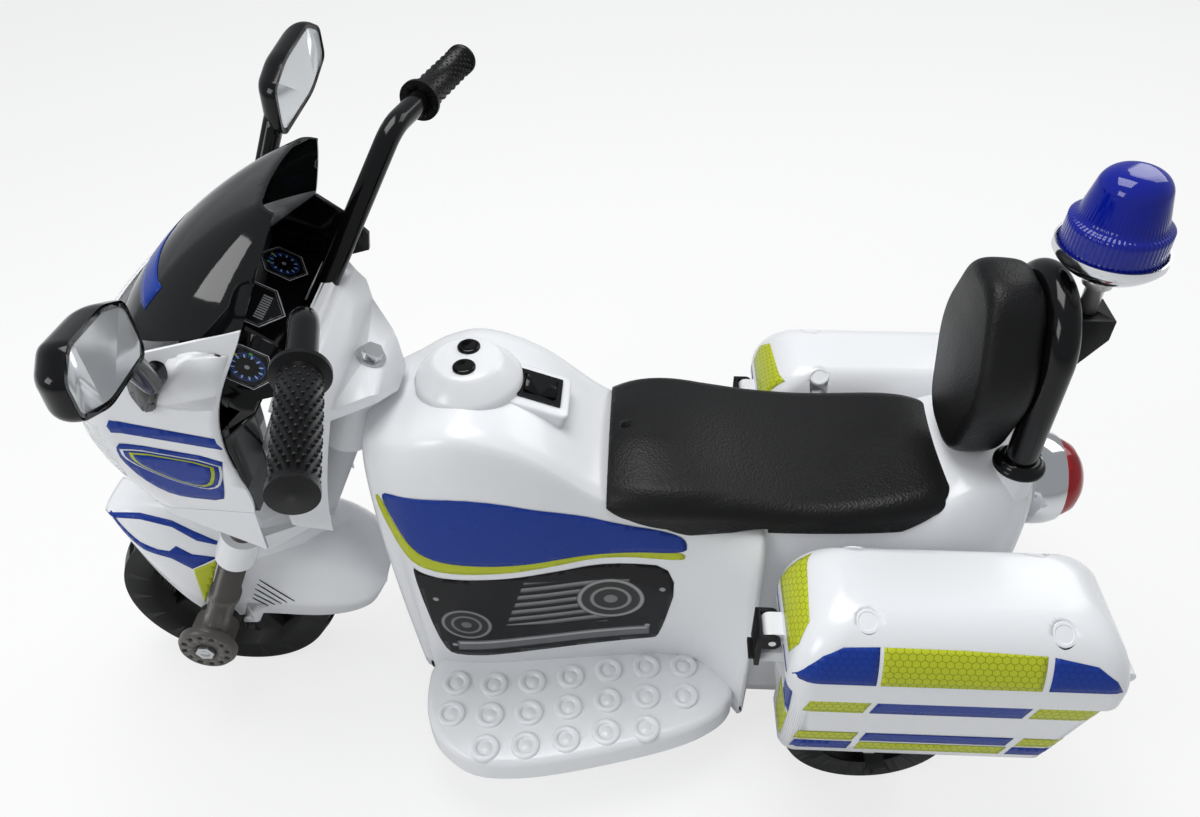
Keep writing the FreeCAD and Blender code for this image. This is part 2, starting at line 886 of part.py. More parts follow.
def steering_head():
    thick = size.tongue_thickness
    side_view = [
        (-size.tongue_tip, -thick),
        (-size.tongue_tip, -thick * waist_share),
        (-size.tongue_tip * waist_share * waist_share, 0.0),
        (size.washer_radius * 1.2, 0.0),
        *((size.head_front * along, size.head_rise * up) for along, up in head_profile_shares),
        (size.head_front, -thick),
    ]
    wedge = polygon_prism(side_view, size.head_half * 2, -size.head_half)
    tip = size.tongue_tip_half
    plan = [
        Vector(-size.tongue_tip, -tip, 0),
        Vector(-size.tongue_tip * waist_share, -size.tongue_waist_half, 0),
        Vector(size.head_front * head_wide_share, -size.head_half, 0),
        Vector(size.head_front, -size.head_half * head_front_share, 0),
        Vector(size.head_front, size.head_half * head_front_share, 0),
        Vector(size.head_front * head_wide_share, size.head_half, 0),
        Vector(-size.tongue_tip * waist_share, size.tongue_waist_half, 0),
        Vector(-size.tongue_tip, tip, 0),
    ]
    corner = [
        arc(plan[7], Vector(-size.tongue_tip * tip_round_share, 0, 0), plan[0]),
        line(plan[0], plan[1]), line(plan[1], plan[2]), line(plan[2], plan[3]), line(plan[3], plan[4]),
        line(plan[4], plan[5]), line(plan[5], plan[6]), line(plan[6], plan[7])]
    tall = thick + size.head_rise + size.overrun * 2
    column = Part.Face(Part.Wire(corner)).extrude(Vector(0, 0, tall))
    column.translate(Vector(0, 0, -thick - size.overrun))
    body = wedge.common(column)
    hole = Part.makeCylinder(
        size.shaft_radius + size.running_fit, tall, Vector(0, 0, -thick - size.overrun))
    body = body.cut(hole)
    body = moved(body, bolt, raked)
    nose = fairing_nose() - size.wall - size.clearance
    back = size.head_front * spine_back_share
    spine = Part.makeBox(nose - back, size.spine_half * 2, size.spine_height,
                         from_bolt(back, -size.spine_half, size.spine_top - size.spine_height))
    body = body.fuse([spine, shroud()]).removeSplitter()
    return body.cut(bar_socket).cut(mirrored(bar_socket))


shroud_top_shares = ((0.10, 0.76), (0.40, 1.0), (1.0, 1.0))
shroud_foot_shares = ((-0.36, 0.86), (0.2, 1.0), (1.0, 1.0))


def shroud_solid(inset):
    """Tapered cover under the tongue round the neck, in the frame of the steering axis."""
    lap = size.overrun if inset else 0
    sections = []
    levels = ((-size.tongue_thickness * 0.5 + lap, size.shroud_half, shroud_top_shares),
              (-size.shroud_drop - lap, size.shroud_foot_half, shroud_foot_shares))
    for level, half, shares in levels:
        rows = [Vector(size.head_front * along - lap * 4 * (number == 0), half * across - inset, level)
                for number, (along, across) in enumerate(shares)]
        ring = rows + [Vector(spot.x, -spot.y, spot.z) for spot in rows[::-1]]
        sections.append(Part.makePolygon(ring + ring[:1]))
    return moved(loft(sections, True), bolt, raked)


def shroud():
    cover = shroud_solid(0).cut(shroud_solid(size.wall))
    ahead = Part.makeBox(size.fairing_depth * 2, size.fairing_half * 4, size.fairing_height * 3,
                         from_bolt(size.dash_waist_x - size.clearance * 2, -size.fairing_half * 2,
                                   -size.fairing_height * 2))
    return cover.cut(ahead)


# Fairing: a blunt nose lofted through five level sections, open behind and on top, where the
# dashboard and the screen close it. The lamp lens wraps across its front.
fairing_height_shares = (0.0, 0.29, 0.56, 0.79, 1.0)
fairing_back_shares = (1.0, 0.97, 0.94, 0.76, 0.55)
fairing_half_shares = (0.85, 0.955, 1.0, 0.985, 0.92)
fairing_nose_shares = (0.78, 0.94, 0.935, 0.74, 0.40)
nose_side_share = (0.60, 0.965)
nose_corner_share = (0.86, 0.86)
nose_front_share = (0.955, 0.60)


def fairing_section(number, inset):
    back = size.fairing_back * fairing_back_shares[number]
    half = size.fairing_half * fairing_half_shares[number] - inset
    nose = size.fairing_back + size.fairing_depth * fairing_nose_shares[number] - inset
    level = size.fairing_bottom + size.fairing_height * fairing_height_shares[number]
    if inset > 0 and number in (0, len(fairing_height_shares) - 1):
        level += size.overrun if number else -size.overrun
    rear = back - (size.overrun if inset > 0 else 0)
    depth = nose - back

    def spot(share, side):
        return from_bolt(back + depth * share[0], side * half * share[1], level)

    ends = [from_bolt(rear, side * half, level) for side in (1, -1)]
    return Part.Wire([
        line(ends[0], spot(nose_side_share, 1)),
        arc(spot(nose_side_share, 1), spot(nose_corner_share, 1), spot(nose_front_share, 1)),
        arc(spot(nose_front_share, 1), from_bolt(nose, 0, level), spot(nose_front_share, -1)),
        arc(spot(nose_front_share, -1), spot(nose_corner_share, -1), spot(nose_side_share, -1)),
        line(spot(nose_side_share, -1), ends[1]),
        line(ends[1], ends[0])])


def fairing_solid(inset):
    return loft([fairing_section(number, inset) for number in range(len(fairing_height_shares))])


def fairing_nose():
    """Least reach of the nose at the spine's level, from the steering bolt."""
    return size.fairing_back + size.fairing_depth * min(fairing_nose_shares[1:3]) - size.overrun


def screen_plane(x):
    """Height of the fairing's top edge, which slopes down to the nose under the screen."""
    slope = (size.screen_foot_z - size.screen_nose_z) / (size.screen_nose_x - size.screen_foot_x)
    return size.screen_nose_z + (size.screen_nose_x - x) * slope


def over_screen_plane(lift):
    """Everything above the fairing's top edge."""
    reach = size.fairing_depth * 2
    tall = size.fairing_height
    points = [
        (size.bolt_x - reach, bolt_z + screen_plane(-reach) + lift),
        (size.bolt_x + reach * 2, bolt_z + screen_plane(reach * 2) + lift),
        (size.bolt_x + reach * 2, bolt_z + tall * 2),
        (size.bolt_x - reach, bolt_z + tall * 2)]
    return polygon_prism(points, size.fairing_half * 3, -size.fairing_half * 1.5)


fairing_outer = fairing_solid(0)
fairing_shell = fairing_outer.cut(fairing_solid(size.wall)).cut(over_screen_plane(0))
lamp_block = Part.makeBox(
    size.fairing_depth, size.fairing_half * 2, size.lamp_height,
    from_bolt(size.lamp_front, -size.fairing_half, size.lamp_bottom))
mirror_foot = from_bolt(size.mirror_foot_x, size.mirror_foot_y, size.mirror_foot_z)
solid("headlight_lens", fairing_shell.common(lamp_block))


def mirror_hole():
    hole = Part.makeCylinder(
        size.mirror_arm_radius + size.clearance, size.wall * 4,
        mirror_foot - Vector(0, size.wall * 2, 0), Vector(0, 1, 0))
    return hole.fuse(mirrored(hole))


solid("fairing", fairing_shell.cut(lamp_block).cut(mirror_hole()))
solid("steering_head", steering_head())

# Headlight reflector: a bowl on the end of the spine, behind the lens.
reflector_share = 0.32
bowl_depth_share = 0.4


def reflector():
    reach = fairing_nose() - size.wall - size.clearance
    big = size.lamp_height * reflector_share
    level = size.spine_top - size.spine_height - big - size.clearance
    seat = from_bolt(reach - size.lamp_height * bowl_depth_share, 0, level)
    bowl = Part.makeCone(big / 2, big, size.lamp_height * bowl_depth_share, seat, Vector(1, 0, 0))
    inner = Part.makeCone(big / 2 - size.rim_wall, big - size.rim_wall, size.lamp_height * bowl_depth_share,
                          seat + Vector(size.rim_wall, 0, 0), Vector(1, 0, 0))
    return bowl.cut(inner)


solid("headlight_reflector", reflector())

# Dashboard: black panel of one wall, sloped under the screen for the dials and folded down as an
# apron behind the fairing, with a notch for the steering head.


wing_shares = ((1.0, 0.98), (0.55, 0.80), (0.24, 0.62), (0.28, 0.46), (1.14, 0.33), (1.9, 0.52), (1.9, 0.66))


def dashboard():
    thick = size.dash_thickness
    lip = (size.dash_lip_x, size.dash_lip_z)
    top = (size.dash_top_x, size.dash_top_z)
    waist = (size.dash_waist_x, size.dash_waist_z)
    foot = size.fairing_bottom + size.clearance
    profile = [
        lip,
        top,
        (top[0] + thick, top[1] - thick),
        (lip[0] + thick * 2.4, lip[1] - thick * 0.9),
        (waist[0] + thick, waist[1]),
        (waist[0] + thick, foot),
        (waist[0], foot),
        (waist[0], waist[1] - thick * 0.6),
        (lip[0], lip[1] - thick)]
    world = [(size.bolt_x + x, bolt_z + z) for x, z in profile]
    panel = polygon_prism(world, size.fairing_half * 2, -size.fairing_half)
    bound = fairing_solid(size.wall + size.clearance)
    deep = Part.makeBox(size.fairing_depth, size.fairing_half * 2, size.fairing_height,
                        from_bolt(size.dash_lip_x - size.overrun, -size.fairing_half, size.fairing_bottom))
    side_limit = size.fairing_half * fairing_half_shares[3] - size.wall - size.clearance
    lip_block = Part.makeBox(
        size.dash_waist_x - size.dash_lip_x + size.overrun, side_limit * 2, size.fairing_height,
        from_bolt(size.dash_lip_x - size.overrun, -side_limit, size.dash_waist_z - thick * 2))
    panel = panel.common(bound.fuse(lip_block)).common(deep)
    wing = [(size.bolt_x + size.screen_foot_x * along, bolt_z + size.screen_foot_z * up)
            for along, up in wing_shares]
    left_wing = polygon_prism(wing, thick, size.dash_wing_side)
    panel = panel.fuse([left_wing, mirrored(left_wing)]).removeSplitter()
    notch_half = size.dash_notch_half
    notch = Part.makeBox(
        size.fairing_depth, notch_half * 2, size.fairing_height,
        from_bolt(0, -notch_half, size.dash_lip_z - thick * 1.5 - size.fairing_height))
    bar_room = swept(bar_path(), size.bar_radius + size.clearance)
    pin_room = Part.makeCylinder(
        size.mirror_arm_radius + size.clearance, size.fairing_half,
        mirror_foot - Vector(0, size.wall * 2, 0), Vector(0, 1, 0))
    for room in (bar_room, pin_room):
        panel = panel.cut(room).cut(mirrored(room))
    return panel.cut(notch).cut(over_screen_plane(-size.clearance))


solid("dashboard", dashboard())

# Screen: smoked sheet lofted through three leaning sections from the fairing's edge to its top.
screen_bow_shares = ((0.0, 1.0), (0.45, 0.95), (0.80, 0.74), (0.94, 0.44))


def screen_section(back, half, back_z, nose, nose_z):
    """A thin bow with a blunt nose: outer and inner curve with straight ends, in one leaning plane."""
    skin = size.screen_thickness

    def spot(share, side, inset):
        x = back + (nose - inset - back) * share[0]
        level = back_z + (nose_z - back_z) * (x - back) / (nose - back)
        return from_bolt(x, side * (half - inset) * share[1], level)

    def bow(inset):
        tip = spot((1.0, 0.0), 1, inset)
        curve = []
        for side in (1, -1):
            ends = [spot(share, side, inset) for share in screen_bow_shares]
            curve.append([arc(ends[0], ends[1], ends[2]), arc(ends[2], ends[3], tip)])
        return curve

    outer = bow(0)
    inner = bow(skin)
    foot_share = screen_bow_shares[0]
    caps = [line(spot(foot_share, side, 0), spot(foot_share, side, skin)) for side in (1, -1)]
    return Part.Wire(outer[0] + outer[1][::-1] + [caps[1]] + inner[1] + inner[0][::-1] + [caps[0]])


def screen():
    foot_nose = size.screen_nose_x
    swell = size.screen_swell
    sections = [
        screen_section(size.screen_foot_x, size.screen_foot_y, size.screen_foot_z + size.clearance,
                       foot_nose, size.screen_nose_z + size.clearance),
        screen_section((size.screen_foot_x + size.screen_top_x) / 2,
                       (size.screen_foot_y + size.screen_top_y) / 2 + swell / 3,
                       (size.screen_foot_z + size.screen_top_z) / 2,
                       (foot_nose + size.screen_peak_x) / 2 + swell,
                       (size.screen_nose_z + size.screen_top_z) / 2 + swell),
        screen_section(size.screen_top_x, size.screen_top_y, size.screen_top_z,
                       size.screen_peak_x, size.screen_top_z + swell / 2)]
    return loft(sections)


solid("windscreen", screen())

# Lower trim: a silver collar of the fairing's own outline, deep at its back edge and run out to a
# thin rim round the nose.
trim_run_share = 0.62


def lower_trim():
    top = size.fairing_bottom - size.clearance
    outer = Part.Face(fairing_section(0, 0)).extrude(Vector(0, 0, -size.trim_height))
    outer.translate(Vector(0, 0, -size.clearance))
    inner = Part.Face(fairing_section(0, size.wall)).extrude(Vector(0, 0, -size.trim_height * 2))
    inner.translate(Vector(0, 0, size.trim_height))
    run_out = size.fairing_back + size.fairing_depth * trim_run_share
    ahead = size.fairing_back + size.fairing_depth * 2
    below = top - size.trim_height * 2
    slope = [
        (size.fairing_back, top - size.trim_height),
        (run_out, top - size.wall),
        (ahead, top - size.wall),
        (ahead, below),
        (size.fairing_back, below)]
    under = polygon_prism(
        [(size.bolt_x + x, bolt_z + z) for x, z in slope], size.fairing_half * 2, -size.fairing_half)
    return outer.cut(inner).cut(under)


solid("lower_trim", lower_trim())

# Mirrors: a shield-shaped housing on a tapered arm that plugs into the fairing, with a mirror plate.
mirror_soften_share = 0.24
mirror_outline_shares = (
    (-0.5, -0.42), (-0.38, 0.34), (-0.1, 0.5), (0.36, 0.46), (0.5, 0.16), (0.44, -0.32), (0.1, -0.5))


def mirror_wire(scale_share, lift, inset):
    """Rounded shield in the mirror's own plane: length along Y, height along Z, facing -X."""
    length = size.mirror_length * scale_share - inset * 2
    height = size.mirror_height * scale_share - inset * 2
    points = [Vector(lift, u * length, v * height) for u, v in mirror_outline_shares]
    return soft_polygon(points, mirror_soften_share)


def mirror_turn():
    tilt = Rotation(Vector(1, 0, 0), float(size.mirror_tilt))
    return Rotation(Vector(0, 0, 1), float(size.mirror_yaw)).multiply(tilt)


mirror_at = from_bolt(size.mirror_x, size.mirror_y, size.mirror_z)


def mirror_housing():
    depth = size.mirror_depth
    shell = loft([mirror_wire(1.0, 0, 0), mirror_wire(1.0, depth * 0.35, 0), mirror_wire(0.72, depth, 0)])
    recess = Part.Face(mirror_wire(1.0, -size.overrun, size.mirror_rim)).extrude(
        Vector(size.mirror_recess + size.clearance + size.overrun, 0, 0))
    shell = moved(shell.cut(recess), mirror_at, mirror_turn())
    inner_low = Vector(depth * 0.5, size.mirror_length * -0.34, size.mirror_height * -0.2)
    joint = Placement(mirror_at, mirror_turn()).multVec(inner_low)
    plug = mirror_foot - Vector(0, size.wall * 1.5, 0)
    shoulder = mirror_foot + Vector(0, size.mirror_arm_radius * 2, 0)
    radius = size.mirror_arm_radius
    pin = Part.makeCylinder(radius, (shoulder - plug).Length, plug, shoulder - plug)
    elbow = Part.makeSphere(radius, shoulder)
    arm = Part.makeCone(radius, radius * 1.15, (joint - shoulder).Length, shoulder, joint - shoulder)
    return shell.fuse([pin, elbow, arm.cut(moved(recess, mirror_at, mirror_turn()))]).removeSplitter()


def mirror_plate():
    face = Part.Face(mirror_wire(1.0, size.clearance, size.mirror_rim + size.clearance))
    return moved(face.extrude(Vector(size.mirror_recess, 0, 0)), mirror_at, mirror_turn())


solid("mirror_housing_left", mirror_housing())
solid("mirror_housing_right", mirrored(mirror_housing()))
solid("mirror_glasses", Part.makeCompound([mirror_plate(), mirrored(mirror_plate())]))

# Mudguard: a deep white arch over the front wheel with side skirts, louvre slits and a beak.
LOUVRES = 5
guard_tail_share = 0.36
guard_peak_share = 1.06
guard_shoulder_share = 0.6
guard_top_shares = ((0.72, 0.83), (0.3, 0.975), (0.35, 0.97))
guard_low_shares = ((0.55, 0.42), (0.90, 0.135))
guard_flat_shares = (0.12, 0.64)


def guard_outline(inset):
    """Side view of the arch round the axle, as (ahead, up); the hollow inside runs out below."""
    crown = size.guard_crown - inset
    front = size.guard_front - inset
    rear = size.guard_rear - inset
    low = size.guard_skirt
    arch = [
        ("corner", -rear, size.guard_crown * guard_tail_share),
        ("bend", -rear * guard_top_shares[0][0], crown * guard_top_shares[0][1]),
        ("corner", -rear * guard_top_shares[1][0], crown * guard_top_shares[1][1]),
        ("bend", front * guard_top_shares[2][0], crown * guard_peak_share),
        ("corner", front, crown * guard_top_shares[2][1])]
    if inset:
        depth = -size.front_wheel_radius
        return arch + [("corner", front, depth), ("corner", -rear, depth)]
    return arch + [
        ("corner", front * guard_low_shares[0][0], crown * guard_low_shares[0][1]),
        ("corner", front * guard_flat_shares[0], low),
        ("corner", -rear * guard_flat_shares[1], low),
        ("bend", -rear * guard_low_shares[1][0], crown * guard_low_shares[1][1])]


def guard_solid(inset):
    points = guard_outline(inset)
    at = Vector(*[float(value) for value in front_axle_at])
    half = size.guard_half - inset
    spots = [(kind, at + Vector(x, -half, z)) for kind, x, z in points]
    edges = []
    corners = [index for index, (kind, _) in enumerate(spots) if kind == "corner"]
    for number, index in enumerate(corners):
        last = spots[corners[(number + 1) % len(corners)]][1]
        kind, middle = spots[(index + 1) % len(spots)]
        first = spots[index][1]
        edges.append(arc(first, middle, last) if kind == "bend" else line(first, last))
    slab = Part.Face(Part.Wire(edges)).extrude(Vector(0, half * 2, 0))
    crown = size.guard_crown * guard_peak_share - inset
    low = -size.front_wheel_radius
    shoulder = crown * guard_shoulder_share
    peak = crown + size.overrun
    reach = size.guard_rear * 2
    arch = Part.Wire([
        line(at + Vector(-reach, -half, low), at + Vector(-reach, half, low)),
        line(at + Vector(-reach, half, low), at + Vector(-reach, half, shoulder)),
        arc(at + Vector(-reach, half, shoulder), at + Vector(-reach, 0, peak),
            at + Vector(-reach, -half, shoulder)),
        line(at + Vector(-reach, -half, shoulder), at + Vector(-reach, -half, low))])
    return slab.common(Part.Face(arch).extrude(Vector(reach * 2, 0, 0)))


def mudguard():
    shell = guard_solid(0).cut(guard_solid(size.guard_wall))
    for number in range(LOUVRES):
        step = size.guard_slit_width * 2.2
        slit = Part.makeBox(size.guard_slit_length, size.guard_half * 3, size.guard_slit_width)
        slit.rotate(Vector(0, 0, 0), Vector(0, 1, 0), 24)
        slit.translate(Vector(front_axle_at[0] - size.guard_rear * 0.5 + number * step * 0.5,
                              -size.guard_half * 1.5,
                              front_axle_at[2] + size.guard_skirt * 2 + number * step))
        shell = shell.cut(slit)
    hub_room = Part.makeCylinder(
        size.hub_radius + size.hub_gap, size.guard_half * 2 + size.overrun,
        Vector(front_axle_at[0], -size.guard_half - size.overrun / 2, front_axle_at[2]), Vector(0, 1, 0))
    return shell.cut(yoke_room()).cut(hub_room)


def yoke_room():
    """The space of the yoke and of the nut under it, which the arch is trimmed to clear."""
    gap = size.washer_thickness
    back = size.riser_radius + gap
    front = size.fork_offset + size.yoke_collar_radius + gap
    room = Part.makeBox(back + front, size.fairing_half * 2, size.yoke_drop)
    room = moved(room, steered(-back, -size.fairing_half, -size.yoke_drop - size.clearance), raked)
    nut_low = steered(0.0, 0.0, -size.yoke_drop - size.nut_height - gap * 2)
    nut = Part.makeCylinder(size.nut_flats, size.yoke_drop, Vector(*nut_low), Vector(-sin_rake, 0, cos_rake))
    return room.fuse(nut)


solid("front_mudguard", mudguard())

# Body shell: tank, waist, hips and tail in one moulding of one wall, open below. Each section has
# a flat sill, bowed sides, round shoulders and a crowned top.
front_station_shares = (0.0, 0.10, 0.17, 0.27, 0.42, 0.59, 0.77, 0.88, 1.0)
front_crown_shares = (0.945, 0.962, 0.988, 1.0, 0.952, 0.832, 0.766, 0.76, 0.758)
front_half_shares = (0.66, 0.88, 0.955, 1.0, 0.98, 0.90, 0.90, 0.98, 1.20)
front_shoulder_shares = (0.74, 0.78, 0.79, 0.80, 0.80, 0.86, 0.88, 0.84, 0.74)
front_sill_shares = (0.62, 0.81, 0.835, 0.84, 0.77, 0.69, 0.62, 0.72, 1.22)
rear_station_shares = (-0.1, 0.25, 0.52, 0.72, 0.87, 1.0)
rear_crown_shares = (0.76, 0.762, 0.785, 0.855, 0.868, 0.85)
rear_half_shares = (0.93, 0.93, 0.93, 0.88, 0.78, 0.60)
rear_shoulder_shares = (0.86, 0.86, 0.82, 0.76, 0.74, 0.72)
rear_sill_shares = (0.90, 0.90, 0.88, 0.82, 0.72, 0.52)
rear_sill_level_shares = (0.0, 0.0, 0.0, 0.08, 0.26, 0.42)
front_lean_share = 0.1
shoulder_drop_share = 0.022
side_level_share = 0.62
side_bow_share = 0.03
quarter = math.sqrt(0.5)


def body_section(x, crown, half, shoulder, sill, sill_level, inset, lean=0.0):
    """One closed section; inset moves it inwards and lets it run out below the sill."""
    low = sill_level - (size.overrun if inset > 0 else 0)
    top = crown - inset
    side = half - inset
    edge = half * shoulder - inset * quarter
    foot = sill - inset
    edge_z = top - crown * shoulder_drop_share
    side_z = sill_level + (crown - sill_level) * side_level_share
    bow = half * side_bow_share

    def spot(y, z):
        return Vector(x - (crown - z) * lean, y, z)

    corner_y = edge + (side - edge) * quarter
    corner_z = side_z + (edge_z - side_z) * quarter
    mid_y = (foot + side) / 2 + bow
    mid_z = (low + side_z) / 2
    return Part.Wire([
        line(spot(-foot, low), spot(foot, low)),
        arc(spot(foot, low), spot(mid_y, mid_z), spot(side, side_z)),
        arc(spot(side, side_z), spot(corner_y, corner_z), spot(edge, edge_z)),
        arc(spot(edge, edge_z), spot(0, top), spot(-edge, edge_z)),
        arc(spot(-edge, edge_z), spot(-corner_y, corner_z), spot(-side, side_z)),
        arc(spot(-side, side_z), spot(-mid_y, mid_z), spot(-foot, low))])


def front_body(inset):
    sections = []
    length = size.body_front + size.body_waist
    last = len(front_station_shares) - 1
    for number, share in enumerate(front_station_shares):
        ends = inset * ((number == 0) - (number == last))
        sections.append(body_section(
            behind(-size.body_front + length * share) - ends,
            size.body_crown * front_crown_shares[number],
            size.body_half * front_half_shares[number],
            front_shoulder_shares[number],
            size.body_half * front_sill_shares[number],
            size.sill_height,
            inset,
            front_lean_share * (1 - share) if number == 0 else 0.0))
    return loft(sections)


def rear_body(inset):
    sections = []
    length = size.body_tail - size.body_waist
    last = len(rear_station_shares) - 1
    for number, share in enumerate(rear_station_shares):
        ends = inset * (number == last)
        sections.append(body_section(
            behind(size.body_waist + length * share) + ends,
            size.body_crown * rear_crown_shares[number],
            size.body_half * rear_half_shares[number],
            rear_shoulder_shares[number],
            size.body_half * rear_sill_shares[number],
            size.sill_height + (size.body_crown - size.sill_height) * rear_sill_level_shares[number],
            inset))
    return loft(sections)


def body_solid(inset):
    return front_body(inset).fuse(rear_body(inset))


# Footboards: flat wings beside the tank with a rounded edge and rings as tread.
board_plan_shares = ((0.0, 0.26), (0.015, 0.78), (0.24, 1.02), (1.0, 0.70), (1.0, 0.26))
board_soften_share = 0.36


def board_solid(inset, low, high):
    middle_x = behind(size.board_front + size.board_length / 2)
    corners = []
    for along, across in board_plan_shares:
        x = behind(size.board_front + size.board_length * along)
        toward = inset if x > middle_x else -inset
        corners.append(Vector(x - toward, size.board_half * across - inset, low))
    slab = Part.Face(soft_polygon(corners, board_soften_share)).extrude(Vector(0, 0, high - low))
    if inset:
        return slab
    rim = [
        edge for edge in slab.Edges
        if edge.BoundBox.ZLength < size.clearance and edge.BoundBox.ZMin > high - size.clearance]
    return slab.makeFillet(size.board_edge_radius, rim)


STUD_ROWS = ((0, 7, 0.0), (1, 7, 0.0), (2, 5, 1.0))
stud_bend_shares = (0.0, 0.0, 0.12, 0.36, 0.66, 0.86, 0.96)


def studs():
    """Raised rings in three rows that follow the body's side."""
    rings = []
    ring = Part.makeCylinder(size.stud_radius, size.stud_height + size.clearance).cut(
        Part.makeCylinder(size.stud_hole_radius, size.stud_height * 3))
    for row, count, start in STUD_ROWS:
        for number in range(count):
            step = number + start
            bend = stud_bend_shares[int(step)] * size.stud_row_pitch
            at = (behind(size.stud_behind + size.stud_pitch * step),
                  size.stud_row_y + size.stud_row_pitch * row - bend,
                  size.board_level - size.clearance)
            rings.append(moved(ring, at))
    return rings


pedal_pivot = (behind(size.pedal_behind), -size.pedal_side, size.board_level + size.pedal_pivot_rise)
rear_axle = (behind(size.rear_axle_behind), 0.0, size.rear_wheel_radius)
pannier_middle = behind(size.box_front + size.box_length / 2)
mount_places = [
    (pannier_middle + side * size.box_length / 4, size.mount_boss_level) for side in (1, -1)]
plinth_at = Vector(behind(size.plinth_behind), 0, size.plinth_level)
plinth_turn = Rotation(Vector(0, 1, 0), -float(size.plinth_slope))
hoop_x = behind(size.hoop_behind)


def turned_box(length, width, height, at, turn):
    """A box centred on a point of its top face, then turned about that point."""
    block = Part.makeBox(length, width, height, Vector(-length / 2, -width / 2, -height))
    return moved(block, at, turn)


def pedal_bearing():
    """Two ears on the right footboard that carry the pedal's pin."""
    ear = size.pedal_ear
    ears = []
    for side in (1, -1):
        inner = side * (size.pedal_width / 2 + size.clearance) - (ear if side < 0 else 0)
        base = Part.makeBox(
            ear * 2, ear, size.pedal_pivot_rise + size.clearance,
            Vector(pedal_pivot[0] - ear, pedal_pivot[1] + inner, size.board_level - size.clearance))
        cap = Part.makeCylinder(ear, ear, Vector(pedal_pivot[0], pedal_pivot[1] + inner, pedal_pivot[2]),
                                Vector(0, 1, 0))
        ears.append(base.fuse(cap))
    return ears


boss_root_share = 0.7


def body_shell():
    left_board = board_solid(0, size.sill_height, size.board_level)
    hollow = board_solid(size.wall, size.sill_height - size.overrun, size.board_level - size.wall)
    outer = body_solid(0).fuse([left_board, mirrored(left_board)])
    neck = Part.makeCylinder(
        size.neck_radius, size.neck_height,
        Vector(*steered(0.0, 0.0, -size.tongue_thickness - size.neck_height - size.clearance)),
        Vector(-sin_rake, 0, cos_rake))
    dome_at = Vector(behind(size.dome_behind), 0, size.dome_level - size.dome_height)
    dome = Part.makeCone(size.dome_radius, size.dome_top_radius, size.dome_height, dome_at)
    plinth = turned_box(size.plinth_length, size.plinth_width, size.plinth_depth, plinth_at, plinth_turn)
    web_depth = size.neck_radius + size.wall * 2
    web = Part.makeBox(web_depth, size.neck_radius, size.neck_height,
                       Vector(behind(size.body_front), -size.neck_radius / 2,
                              size.body_crown * front_crown_shares[0] - size.neck_height - size.wall))
    riser_room = Part.makeCylinder(
        size.riser_radius + size.clearance, size.yoke_drop - riser_top + size.clearance,
        Vector(*steered(0.0, 0.0, -size.yoke_drop)), Vector(-sin_rake, 0, cos_rake))
    web = web.cut(riser_room)
    outer = outer.fuse([neck, dome, plinth, web])
    cavity = body_solid(size.wall)
    boards = hollow.fuse(mirrored(hollow)).cut(body_solid(0))
    shell = outer.cut(cavity).cut(boards)
    shell = shell.fuse(studs() + kept_right_studs() + pedal_bearing())
    bosses = []
    for side in (1, -1):
        for x, level in mount_places:
            bosses.append(Part.makeCylinder(
                size.mount_boss_radius, size.box_inner - size.body_half * boss_root_share,
                Vector(x, side * size.body_half * boss_root_share, level), Vector(0, side, 0)))
        bosses.append(Part.makeCylinder(
            size.hoop_radius + size.wall, size.collar_base - size.hoop_foot + size.wall,
            Vector(hoop_x, side * size.hoop_half, size.hoop_foot - size.wall)))
    bosses.append(Part.makeCylinder(
        size.rear_boss_radius, size.rear_boss_end - size.body_half * boss_root_share,
        Vector(rear_axle[0], size.body_half * boss_root_share, rear_axle[2]), Vector(0, 1, 0)))
    shell = shell.fuse(bosses)
    return shell.cut(shell_holes())


def kept_right_studs():
    """The right board's rings, less those that the pedal stands over."""
    half = size.pedal_width / 2 + size.stud_radius + size.pedal_ear + size.clearance
    kept = []
    for ring in studs():
        right = mirrored(ring)
        middle = right.BoundBox.Center
        near_x = pedal_pivot[0] - size.pedal_ear - size.stud_radius
        far_x = pedal_pivot[0] + size.pedal_length + size.stud_radius
        if near_x < middle.x < far_x and abs(middle.y - pedal_pivot[1]) < half:
            continue
        kept.append(right)
    return kept


